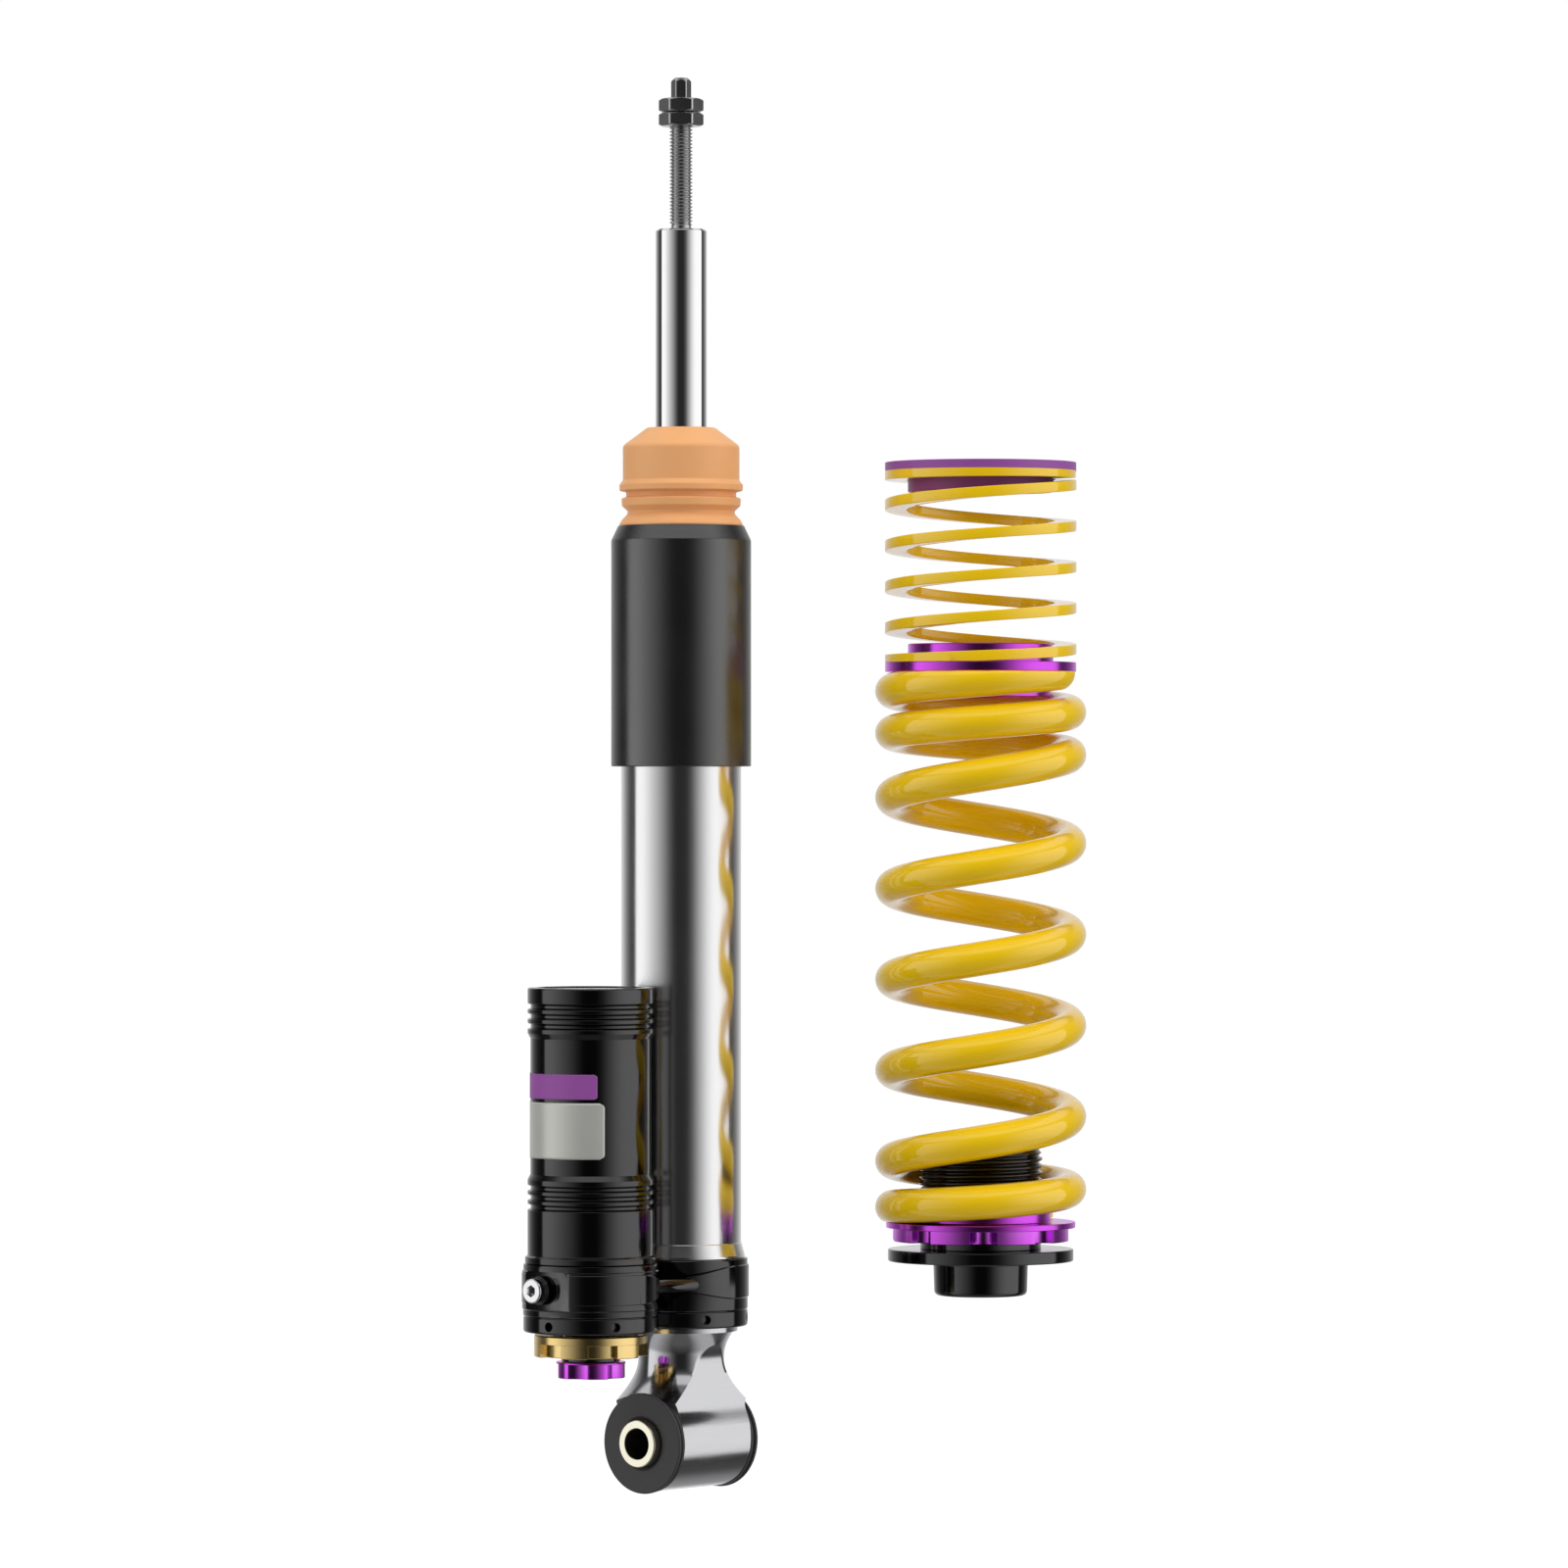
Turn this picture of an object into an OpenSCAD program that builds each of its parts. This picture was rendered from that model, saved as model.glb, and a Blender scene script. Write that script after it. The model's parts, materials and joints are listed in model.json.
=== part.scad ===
// Rear coilover set: damper with side reservoir, and its separate spring unit with screw perch.
// Millimetres. Origin: centre of the lower eye. +Z runs up the damper axis, Y runs along the
// eye bolt, the reservoir stands on the -Y side. The spring unit bolts to the same arm.

/* [Lower eye] */
// radius of the bolt hole in the eye sleeve
bolt_r = 6.5; // [5:0.1:8]
// outside radius of the eye sleeve
sleeve_r = 10.1; // [9:0.1:12]
// length of the eye sleeve
sleeve_len = 58.4; // [50:0.2:70]
// outside radius of the steel eye
eye_r = 20.8; // [19:0.1:24]
// length of the steel eye along the bolt
eye_len = 43.8; // [36:0.2:50]
// wall of the steel eye
eye_wall = 3.2; // [2:0.1:5]
// radius of the rubber bush's end flanges
bush_flange_r = 21.5; // [19:0.1:25]
// overall length of the rubber bush
bush_len = 51.8; // [44:0.2:58]
// smallest radius of the turned neck
neck_r = 18.4; // [15:0.1:22]
// height of the neck's narrowest place
neck_z = 35.5; // [30:0.5:40]
// half width of the flat-sided neck
neck_half = 17; // [14:0.1:20]
// radius of the rim above the neck
rim_r = 24.2; // [20:0.1:27]

/* [Damper body] */
// outside radius of the damper tube
tube_r = 25.7; // [22:0.1:30]
// wall of the damper tube
tube_wall = 2.3; // [1.5:0.1:4]
// height of the top of the damper tube
tube_top = 383; // [340:1:384]
// outside radius of the inner pressure cylinder
inner_r = 20; // [16:0.5:22]
// inside radius of the pressure cylinder
inner_bore = 18; // [15:0.5:20]
// radius of the collar that clamps the tube
collar_r = 29.1; // [27:0.1:32]
// radius of the lock ring under the tube
lock_r = 28.5; // [27:0.1:31]
// number of pin-wrench holes in each lock ring
wrench_holes = 6; // [4:1:8]
// radius of a pin-wrench hole
wrench_r = 2; // [1.5:0.1:3]

/* [Rod and stud] */
// radius of the piston rod
rod_r = 11; // [9:0.5:12.5]
// height of the rod's top shoulder
rod_top = 519; // [480:1:540]
// height of the rod's lower shoulder, where the piston stack begins
rod_foot = 346; // [330:1:352]
// radius of the top stud
stud_r = 5; // [4:0.5:6]
// height of the upper end of the mount's seat on the stud
seat_top = 562.8; // [550:0.2:565]
// height of the top of the stud
stud_top = 583.9; // [575:0.1:595]
// width across flats of the top nuts
nut_af = 17; // [15:1:19]
// height of each top nut
nut_h = 5.8; // [5:0.1:8]
// lower face of the lower nut
nut_z = 563.1; // [563:0.1:566]
// radius of the rebound needle in the hollow rod
needle_r = 2; // [1.5:0.1:3]

/* [Bump stop and cover] */
// radius of the bump stop's body
stop_r = 24.6; // [20:0.1:26]
// height of the bump stop's top face
stop_top = 433.9; // [420:0.1:450]
// height of its lower face, on the head cap
stop_foot = 389; // [385:0.5:392]
// outside radius of the dust cover
cover_r = 30; // [28:0.5:34]
// wall of the dust cover
cover_wall = 1.6; // [1:0.1:2.5]
// height of the cover's top edge
cover_top = 391.9; // [385:0.1:400]
// height of the cover's lower edge
cover_foot = 288.7; // [260:0.1:320]

/* [Base block] */
// distance from the damper axis to the reservoir axis
res_off = 58.6; // [56:0.1:64]
// radius of the block's ring under the reservoir
res_collar_r = 29.3; // [27:0.1:31]
// height of the block's lower face
block_foot = 56.5; // [50:0.5:60]
// height of the block's top face
block_top = 78.4; // [70:0.1:85]
// width of the web between the two rings
web_w = 44; // [30:1:50]
// height of the oil filling screw
fill_z = 67.8; // [62:0.1:70]
// sideways offset of the filling screw from the reservoir axis
fill_x = -5.5; // [-8:0.1:0]

/* [Reservoir] */
// radius of the reservoir's plain body
res_r = 25.6; // [22:0.1:28]
// radius of its end bands
band_r = 26.8; // [24:0.1:29]
// inside radius of the reservoir
res_bore = 22.5; // [18:0.5:24]
// height of the reservoir's top
res_top = 195.1; // [160:0.1:240]
// length of the floating piston
float_len = 16; // [10:1:24]
// rest height of the floating piston's lower face
float_z = 112; // [100:1:120]

/* [Adjuster knobs] */
// radius of the large high-speed knob
big_knob_r = 24; // [20:0.5:27]
// height of the large knob's lower face
big_knob_z = 39.1; // [38:0.1:41]
// thickness of the large knob
big_knob_h = 9.3; // [7:0.1:10]
// radius of the small low-speed knob
small_knob_r = 14.7; // [12:0.1:18]
// height of the small knob's lower face
small_knob_z = 30; // [28:0.1:32]
// thickness of the small knob
small_knob_h = 6.9; // [5:0.1:8]
// number of scallops round the small knob
scallops = 8; // [6:1:12]

/* [Spring unit] */
// spring axis, distance from the damper axis along X
unit_x = 98; // [80:1:140]
// spring axis, distance from the damper axis along Y
unit_y = 83; // [60:1:120]
// radius of the bottom plate
plate_r = 39.8; // [36:0.1:44]
// underside height of the bottom plate
plate_z = 77.2; // [70:0.1:80]
// thickness of the bottom plate
plate_h = 4.9; // [3:0.1:6]
// radius of the boss that enters the arm
boss_r = 20.3; // [16:0.1:24]
// height of the boss's lower end
boss_z = 62; // [50:0.5:66]
// radius of the through bore
core_r = 15; // [10:0.5:18]
// crest radius of the perch thread
thread_r = 26.6; // [24:0.1:28]
// pitch of the perch thread
thread_pitch = 3; // [2:0.5:4]
// height of the top of the threaded sleeve
thread_top = 125; // [115:1:150]
// radius of the perch's seat flange
perch_r = 40.6; // [38:0.1:44]
// height of the perch's seat face
seat_z = 92.3; // [90:0.1:110]
// number of hook-wrench notches in the perch
notches = 8; // [6:1:12]
// radius of the separator and top seat flanges
seat_r = 41; // [38:0.1:44]
// lower face of the separator's flange
sep_z = 329.2; // [300:0.1:360]
// lower face of the top seat's flange
cap_z = 415.4; // [380:0.1:440]

/* [Main spring] */
// wire radius
wire_r = 7.4; // [5:0.1:8]
// mean coil radius
coil_r = 37.9; // [35:0.1:40]
// rise per half turn in the working coils
rise_mid = 19.5; // [15:0.1:24]
// rise per half turn in the upper closed end
rise_top = 9; // [7:0.1:12]
// rise per half turn in the lower closed end
rise_low = 6.8; // [6:0.1:12]
// number of half turns
half_turns = 16; // [10:1:20]

/* [Helper spring] */
// inside radius of the flat wire
flat_in = 31.7; // [30:0.1:34]
// outside radius of the flat wire
flat_out = 41.1; // [38:0.1:43]
// thickness of the flat wire
flat_h = 4.5; // [2:0.1:5]
// rise per half turn in the working coils
flat_rise = 8.8; // [6:0.1:12]

/* [Hidden] */
$fn = 96;
steel = [0.55, 0.56, 0.58];
bright = [0.82, 0.83, 0.85];
black = [0.06, 0.06, 0.065];
rubber = [0.16, 0.16, 0.17];
foam = [0.95, 0.64, 0.40];
yellow = [0.88, 0.70, 0.05];
purple = [0.55, 0.18, 0.66];
gold = [0.83, 0.66, 0.26];
brass = [0.80, 0.66, 0.35];
run_gap = 0.05;               // radial running clearance between bodies
eye_bore = eye_r - eye_wall;
tube_in = tube_r - tube_wall;
spigot_r = 18.5;              // lug spigot inside the tube
cart_r = 16;                  // valve cartridge in the block
nose_r = 8;                   // cartridge nose that carries the large knob
spin_r = 3;                   // spindle of the small knob
post_r = 6;                   // piston post under the rod
bush_t = 1.5;                 // guide bush wall
facet_y = 26.4;               // flat for the filling screw, from the reservoir axis
tip_cut = 0.16;               // part of a half turn ground off the spring's upper end
heel_cut = 0.25;              // and off its lower end
dish = 0.5;                   // depth of the dish in the rod's shoulder round the stud
flat_mid = (flat_in + flat_out) / 2;
plate_top = plate_z + plate_h;
perch_neck = 30.1;            // pilots inside the main spring
helper_neck = 31.2;           // pilots inside the helper spring

// ---- helpers
module ring(ro, ri, z0, z1) {
  rotate_extrude() polygon([[ri, z0], [ro, z0], [ro, z1], [ri, z1]]);
}
// ring with a chamfer c on its outer corners
module ring_c(ro, ri, z0, z1, c) {
  rotate_extrude()
    polygon([[ri, z0], [ro - c, z0], [ro, z0 + c], [ro, z1 - c], [ro - c, z1], [ri, z1]]);
}
module at_res() {
  translate([0, -res_off, 0]) children();
}
module at_unit() {
  translate([unit_x, unit_y, 0]) children();
}
// radial holes for a pin wrench
module pin_holes(r, z, first) {
  for (i = [0:wrench_holes - 1])
    rotate([0, 0, first + i * 360 / wrench_holes])
      translate([r - 3, 0, z]) rotate([0, 90, 0]) cylinder(r = wrench_r, h = 6, $fn = 24);
}
function smooth(t) = let(u = min(1, max(0, t))) u * u * u - u * u * u * u / 2;
// integral of a smooth step that rises from a to b
function step_area(h, a, b) =
  h <= a ? 0 : h >= b ? h - (a + b) / 2 : (b - a) * smooth((h - a) / (b - a));

// ---- lower eye
module eye_sleeve() color(brass)
  rotate([90, 0, 0]) difference() {
    cylinder(r = sleeve_r, h = sleeve_len, center = true);
    cylinder(r = bolt_r, h = sleeve_len + 2, center = true);
  }

function neck_profile() =
  [for (i = [0:14]) let(z = 8 + i * 2.765) [neck_r + pow(z - neck_z, 2) / 32, z]];
function side_profile(s) =
  [for (i = [0:8]) let(z = 30 + i * 2.5) [s * (neck_half + pow(max(0, z - 34), 2) / 24), z]];

module eye_lug() color(steel)
  difference() {
    union() {
      rotate([90, 0, 0]) cylinder(r = eye_r, h = eye_len, center = true);
      intersection() {
        rotate_extrude()
          polygon(concat([[0, 8]], neck_profile(),
                         [[rim_r - 0.3, 47], [rim_r, 47.3], [rim_r, 49.2], [0, 49.2]]));
        rotate([90, 0, 0]) linear_extrude(eye_len, center = true)
          polygon(concat([[0, 0], [neck_half, 5]], side_profile(1),
                         [for (i = [8:-1:0]) side_profile(-1)[i]], [[-neck_half, 5]]));
      }
      rotate_extrude() polygon([[0, 40], [17, 40], [17, 47], [spigot_r, 49],
                                [spigot_r, 65], [spigot_r - 1, 66], [0, 66]]);
      intersection() {
        ring(rim_r, 0, 47.3, 49.2);
        rotate([90, 0, 0]) cube([60, 120, eye_len + 8], center = true);
      }
    }
    rotate([90, 0, 0]) cylinder(r = eye_bore, h = eye_len + 2, center = true);
  }

module bush_rubber() color(rubber)
  rotate([90, 0, 0]) rotate_extrude() {
    e = eye_len / 2;
    f = bush_len / 2;
    i = sleeve_r + run_gap;
    polygon([
      [i, -f + 1], [i + 1, -f], [bush_flange_r - 1, -f], [bush_flange_r, -f + 1],
      [bush_flange_r, -e - 2], [bush_flange_r - 1.2, -e - 1.6], [bush_flange_r - 0.6, -e],
      [eye_bore, -e], [eye_bore, e], [bush_flange_r - 0.6, e], [bush_flange_r - 1.2, e + 1.6],
      [bush_flange_r, e + 2], [bush_flange_r, f - 1], [bush_flange_r - 1, f],
      [i + 1, f], [i, f - 1]
    ]);
  }

// ---- base block and what it clamps
module tube_lock_ring() color(black)
  difference() {
    rotate_extrude()
      polygon([[spigot_r, 49.2], [rim_r, 49.2], [rim_r + 0.5, 49.8], [lock_r - 1, 49.8],
               [lock_r, 50.8], [lock_r, 55.9], [lock_r - 0.6, 56.1], [lock_r - 0.6, block_foot],
               [spigot_r, block_foot]]);
    pin_holes(lock_r, 53.1, -27);
  }

module base_block() color(black)
  difference() {
    union() {
      ring_c(collar_r, 0, block_foot, block_top - 3, 0.5);
      ring_c(collar_r - 0.5, 0, block_top - 4, block_top, 0.5);
      at_res() ring_c(res_collar_r, 0, block_foot, block_top, 0.6);
      translate([-web_w / 2, -res_off, 61]) cube([web_w, res_off, 11.5]);
    }
    // seats for the tube, the lug spigot, the reservoir and the valve cartridge
    translate([0, 0, 58]) cylinder(r = tube_r, h = 30);
    translate([0, 0, 50]) cylinder(r = spigot_r, h = 20);
    at_res() translate([0, 0, 72]) cylinder(r = res_r - 1, h = 10);
    at_res() translate([0, 0, 50]) cylinder(r = cart_r, h = 30);
    // flat and tapped hole for the filling screw
    translate([-14, -res_off - facet_y - 6, 59.5]) cube([26, 6, 16.4]);
    translate([fill_x, -res_off - 20, fill_z]) rotate([90, 0, 0]) cylinder(r = 3, h = 12);
    // oil way from the tube to the reservoir
    translate([0, -res_off + 10, 67]) rotate([-90, 0, 0]) cylinder(r = 3, h = 30);
  }

module damper_tube() color(bright)
  rotate_extrude()
    polygon([[tube_in, 58], [tube_r, 58], [tube_r, block_top], [tube_r + 1.6, block_top],
             [tube_r + 1.6, block_top + 1], [tube_r + 0.9, block_top + 3.2],
             [tube_r, block_top + 6.5], [tube_r, tube_top], [tube_in, tube_top]]);

module inner_cylinder() color(steel)
  ring(inner_r, inner_bore, 76, 360);

module base_valve() color(brass)
  difference() {
    rotate_extrude()
      polygon([[0, 67], [tube_in, 67], [tube_in, 76], [inner_bore, 76], [inner_bore, 84],
               [6, 84], [6, 88], [0, 88]]);
    for (a = [0:60:300])
      rotate([0, 0, a]) translate([11.5, 0, 60]) cylinder(r = 2.2, h = 40, $fn = 24);
  }

module rod_guide() color(steel)
  rotate_extrude()
    polygon([[rod_r + bush_t, 352], [inner_bore, 352], [inner_bore, 360], [tube_in, 360],
             [tube_in, 382], [17, 382], [17, 374], [rod_r + bush_t, 374]]);

module guide_bush() color(brass)
  ring(rod_r + bush_t, rod_r + run_gap, 352, 374);

module rod_seal() color(rubber)
  rotate_extrude()
    polygon([[rod_r + run_gap, 374], [17, 374], [17, 382], [rod_r + 2, 382],
             [rod_r + run_gap, 380.6], [rod_r + 0.8, 378]]);

module head_cap() color(black)
  rotate_extrude()
    polygon([[rod_r + 0.8, 382], [tube_in, 382], [tube_in, tube_top], [tube_r, tube_top],
             [tube_r, 388], [tube_r - 1, stop_foot], [rod_r + 0.8, stop_foot]]);

// ---- reservoir
// grooves between the ridges of an end band, from z downwards
function groove_set(z, n, p) =
  [for (i = [0:n - 1]) for (q = [[0, 1.3], [1.3, 0.5], [1.3, -0.5], [0, -1.3]])
     [band_r - q[0], z - i * p + q[1]]];

module reservoir_body() color(black)
  at_res() rotate_extrude()
    polygon(concat(
      [[res_bore, res_top - 0.5], [res_bore + 0.5, res_top], [band_r - 1, res_top],
       [band_r, res_top - 1]],
      groove_set(187.2, 3, 4.15),
      [[band_r, 175.9], [res_r, 173.5], [res_r, 116.4], [band_r, 113.9]],
      groove_set(110.5, 3, 4.0),
      [[band_r, 82], [27.9, 81.4], [27.9, block_top + 0.4], [27.5, block_top],
       [res_r - 1, block_top], [res_r - 1, 72], [res_bore, 72]]));

module reservoir_end_cap() color(bright)
  at_res() rotate_extrude()
    polygon([[0, 182], [res_bore, 182], [res_bore, 193], [res_bore - 3.2, 193],
             [res_bore - 3.2, 194.4], [7, 194.4], [6, 193], [4, 193], [4, 186], [0, 186]]);

module cap_circlip() color(steel)
  at_res() difference() {
    ring(res_bore, res_bore - 2.6, 193, 194.2);
    translate([10, -3, 192]) cube([20, 6, 4]);
  }

module gas_plug() color(steel)
  at_res() difference() {
    rotate_extrude()
      polygon([[0, 186], [4, 186], [4, 193], [5.6, 193], [5.6, 194], [5, 194.6], [0, 194.6]]);
    translate([0, 0, 191]) cylinder(r = 2.3, h = 6, $fn = 6);
  }

module blank_label() color(bright)
  at_res() rotate([0, 0, -150]) rotate_extrude(angle = 112)
    polygon([[res_r, 123.3], [res_r + 0.2, 123.3], [res_r + 0.2, 147], [res_r, 147]]);

module floating_piston() color(brass)
  at_res() rotate_extrude() {
    z = float_z;
    r = res_bore - run_gap;
    m = z + float_len / 2;
    polygon([[0, z + 5], [r - 6, z + 5], [r - 4, z], [r - 0.6, z], [r, z + 0.6], [r, m - 2],
             [r - 3, m - 2], [r - 3, m + 2], [r, m + 2], [r, z + float_len - 0.6],
             [r - 0.6, z + float_len], [0, z + float_len]]);
  }

module floating_piston_seal() color(rubber)
  at_res() translate([0, 0, float_z + float_len / 2])
    ring(res_bore - run_gap, res_bore - run_gap - 3, -2, 2);

module reservoir_lock_ring() color(black)
  at_res() difference() {
    rotate_extrude()
      polygon([[cart_r, 49.5], [lock_r - 0.9, 49.5], [lock_r + 0.1, 50.5], [lock_r + 0.1, 55.6],
               [lock_r - 0.5, 55.9], [lock_r - 0.5, block_foot], [cart_r, block_foot]]);
    pin_holes(lock_r, 52.8, -27);
  }

module valve_body() color(black)
  at_res() difference() {
    rotate_extrude()
      polygon([[spin_r + run_gap, 37.6], [nose_r, 37.6], [nose_r, 49], [cart_r, 49],
               [cart_r, 78], [12, 78], [12, 86], [9, 90], [spin_r + run_gap, 90]]);
    for (a = [0:60:300])
      rotate([0, 0, a]) translate([9, 0, 82]) rotate([0, 90, 0])
        cylinder(r = 1.6, h = 6, $fn = 24);
  }

module fill_screw() color(bright)
  at_res() translate([fill_x, 0, fill_z]) rotate([90, 0, 0]) difference() {
    rotate_extrude()
      polygon([[0, 20], [3, 20], [3, 28.7], [5.2, 28.7], [5.2, 31.3], [4.6, 31.9], [0, 31.9]]);
    translate([0, 0, 29.6]) cylinder(r = 2.6, h = 4, $fn = 6);
  }

module fill_screw_seal() color(black)
  at_res() translate([fill_x, 0, fill_z]) rotate([90, 0, 0]) rotate_extrude()
    polygon([[3, facet_y], [6.3, facet_y], [6.3, facet_y + 1.6], [5.6, 28.7], [3, 28.7]]);

// ---- piston rod group
module piston_rod() color(bright)
  rotate_extrude()
    polygon([[needle_r + run_gap, 318], [post_r - 0.5, 318], [post_r, 318.5],
             [post_r, rod_foot], [rod_r, rod_foot], [rod_r, rod_top - 0.8],
             [rod_r - 0.8, rod_top], [stud_r + 0.25, rod_top],
             [stud_r + 0.25, rod_top - dish], [needle_r + run_gap, rod_top - dish]]);

module top_stud() color(steel)
  difference() {
    union() {
      cylinder_between(4.3, rod_top - dish, rod_top + 0.5);
      cylinder_between(stud_r, rod_top, seat_top);
      // relief between the plain-fit length and the nuts' thread
      cylinder_between(4.2, seat_top - 0.5, seat_top + 1.8);
      cylinder_between(stud_r, seat_top + 1.3, 575.3);
      rotate([0, 0, 10]) intersection() {
        translate([0, 0, 574.6]) cylinder(r = 4.5, h = stud_top - 574.6, $fn = 6);
        rotate_extrude()
          polygon([[0, 574], [5, 574], [5, stud_top - 1.8], [3, stud_top], [0, stud_top]]);
      }
    }
    translate([0, 0, 510]) cylinder(r = needle_r + run_gap, h = 90);
  }
module cylinder_between(r, z0, z1) {
  translate([0, 0, z0]) cylinder(r = r, h = z1 - z0);
}

module rebound_needle() color(brass)
  difference() {
    rotate_extrude()
      polygon([[0, 312], [needle_r, 316], [needle_r, stud_top - 1.4],
               [needle_r - 0.4, stud_top - 1], [0, stud_top - 1]]);
    translate([0, 0, stud_top - 3]) cylinder(r = 1.2, h = 4, $fn = 6);
  }

module rebound_stop() color(rubber)
  ring_c(17, post_r, 342, rod_foot, 1);

module rebound_shims() color(bright)
  rotate_extrude()
    polygon([[post_r, 339.6], [15, 339.6], [15, 340.2], [13, 340.2], [13, 340.8], [11, 340.8],
             [11, 342], [post_r, 342]]);

module main_piston() color(steel)
  difference() {
    rotate_extrude()
      polygon([[post_r, 327.6], [15.6, 327.6], [17, 329], [17, 330.2], [16, 330.2],
               [16, 337.2], [17, 337.2], [17, 338.4], [16, 339.6], [post_r, 339.6]]);
    for (a = [0:60:300])
      rotate([0, 0, a]) translate([12, 0, 320]) cylinder(r = 1.8, h = 30, $fn = 24);
  }

module piston_band() color(rubber)
  ring(inner_bore - run_gap, 16, 330.2, 337.2);

module compression_shims() color(bright)
  rotate_extrude()
    polygon([[post_r, 325.4], [11, 325.4], [11, 326.4], [13, 326.4], [13, 327], [15, 327],
             [15, 327.6], [post_r, 327.6]]);

module piston_nut() color(steel)
  difference() {
    translate([0, 0, 319]) cylinder(r = 9.8, h = 6.4, $fn = 6);
    translate([0, 0, 318]) cylinder(r = post_r, h = 9);
  }

// hexagon nut with both faces chamfered, one flat turned a degrees from +X
module hex_nut(z, a) {
  c = nut_af / 2 / cos(30);
  difference() {
    intersection() {
      rotate([0, 0, a + 30]) translate([0, 0, z]) cylinder(r = c, h = nut_h, $fn = 6);
      rotate_extrude()
        polygon([[0, z], [nut_af / 2, z], [c + 0.1, z + 1], [c + 0.1, z + nut_h - 1],
                 [nut_af / 2, z + nut_h], [0, z + nut_h]]);
    }
    translate([0, 0, z - 1]) cylinder(r = stud_r + run_gap, h = nut_h + 2);
  }
}
module lower_nut() color(steel) hex_nut(nut_z, -50);
module upper_nut() color(steel) hex_nut(nut_z + nut_h + 0.3, -50);

// ---- bump stop and dust cover
module bump_stop() color(foam)
  rotate_extrude()
    polygon([
      [rod_r + 0.4, stop_foot], [26.2, stop_foot], [26.4, 389.6], [26.4, 392.4], [22.5, 397],
      [22.1, 398], [22.5, 399], [25.2, 401.2], [25.4, 402.6], [25, 404.1], [23.5, 404.3],
      [23.5, 406.4], [26.3, 406.9], [26.5, 408], [25.6, 410.6], [stop_r, 411.6],
      [stop_r, 425.4], [24, 427.2], [14.8, stop_top - 0.3], [14.2, stop_top],
      [rod_r + 0.4, stop_top]
    ]);

module dust_cover() color(black)
  rotate_extrude() {
    i = cover_r - cover_wall;
    polygon([[26.4, cover_top - 2.4], [26.4, cover_top], [26.9, cover_top],
             [cover_r, cover_top - 6.3], [cover_r, cover_foot + 0.5], [cover_r - 0.5, cover_foot],
             [i, cover_foot], [i, cover_top - 7]]);
  }

// ---- knobs
module high_speed_knob() color(gold)
  at_res() difference() {
    ring_c(big_knob_r, nose_r + run_gap, big_knob_z, big_knob_z + big_knob_h, 0.6);
    for (a = [-36:60:264])
      rotate([0, 0, a]) translate([big_knob_r - 3, -6, big_knob_z - 1]) cube([6, 12, 6.6]);
    translate([0, 0, big_knob_z + 6.4]) ring(18, 12, 0, 5);
  }

module low_speed_knob() color(purple)
  at_res() difference() {
    ring_c(small_knob_r, spin_r, small_knob_z, small_knob_z + small_knob_h, 0.5);
    for (i = [0:scallops - 1])
      rotate([0, 0, 12 + i * 360 / scallops]) translate([small_knob_r + 1.2, 0, small_knob_z - 1])
        cylinder(r = 3, h = small_knob_h, $fn = 32);
  }

module low_speed_spindle() color(steel)
  at_res() rotate_extrude()
    polygon([[0, 30.6], [spin_r, 30.6], [spin_r, 92], [0, 98]]);

// ---- spring unit
// thread crests as separate ridges, all of one pitch
function ridges(z0, z1, p) =
  [for (i = [0:floor((z1 - z0) / p) - 1])
     for (q = [[1.6, 0.2], [0.25, 0.9], [0, 1.2], [0, 1.8], [0.25, 2.1], [1.6, 2.8]])
       [thread_r - q[0], z0 + (i + q[1] / 3) * p]];

module threaded_sleeve() color(black)
  at_unit() rotate_extrude()
    polygon(concat(
      [[core_r, boss_z + 0.5], [core_r + 0.5, boss_z], [boss_r - 2.5, boss_z],
       [boss_r - 0.8, boss_z + 0.8], [boss_r, boss_z + 2.6], [boss_r, 75.6], [20.9, 75.8],
       [20.9, plate_z], [plate_r - 0.8, plate_z], [plate_r, plate_z + 0.8],
       [plate_r, plate_top - 0.8], [plate_r - 0.8, plate_top], [25.9, plate_top],
       [25.9, 86], [thread_r - 1.6, 86.6]],
      ridges(86.6, thread_top - 0.6, thread_pitch),
      [[thread_r - 1.6, thread_top - 0.4], [thread_r - 2, thread_top], [22, thread_top],
       [22, 84], [core_r, 80]]));

module adjuster_perch() color(purple)
  at_unit() difference() {
    rotate([0, 0, 17.9]) rotate_extrude()
      polygon([[thread_r + run_gap, 84.7], [37.5, 84.7], [37.9, 85.1], [37.9, 90.1],
               [perch_r - 0.3, 90.1], [perch_r, 90.4], [perch_r, seat_z - 0.5],
               [perch_r - 0.5, seat_z], [perch_neck, seat_z], [perch_neck, 99.7],
               [perch_neck - 0.6, 100.3], [thread_r + run_gap, 100.3]]);
    for (i = [0:notches - 1])
      rotate([0, 0, -49.6 + i * 360 / notches]) {
        translate([37.2, 0, 80]) cylinder(r = 4.6, h = 10.1, $fn = 48);
        translate([36, -5, 80]) cube([6, 10, 10.1]);
      }
    rotate([0, 0, 62.9]) translate([26, 0, 87]) rotate([0, 90, 0])
      cylinder(r = 1.5, h = 15, $fn = 24);
  }

module perch_set_screw() color(steel)
  at_unit() rotate([0, 0, 62.9]) translate([27, 0, 87]) rotate([0, 90, 0]) difference() {
    cylinder(r = 1.5, h = 9, $fn = 24);
    translate([0, 0, 7.4]) cylinder(r = 0.8, h = 3, $fn = 6);
  }

module separator_ring() color(purple)
  at_unit() rotate_extrude()
    polygon([[27, 318.2], [perch_neck - 0.5, 318.2], [perch_neck, 318.7], [perch_neck, sep_z],
             [seat_r - 0.4, sep_z], [seat_r, sep_z + 0.4], [seat_r, 333], [seat_r - 0.4, 333.4],
             [helper_neck, 333.4], [helper_neck, 340.8], [helper_neck - 0.5, 341.3],
             [27, 341.3]]);

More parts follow.
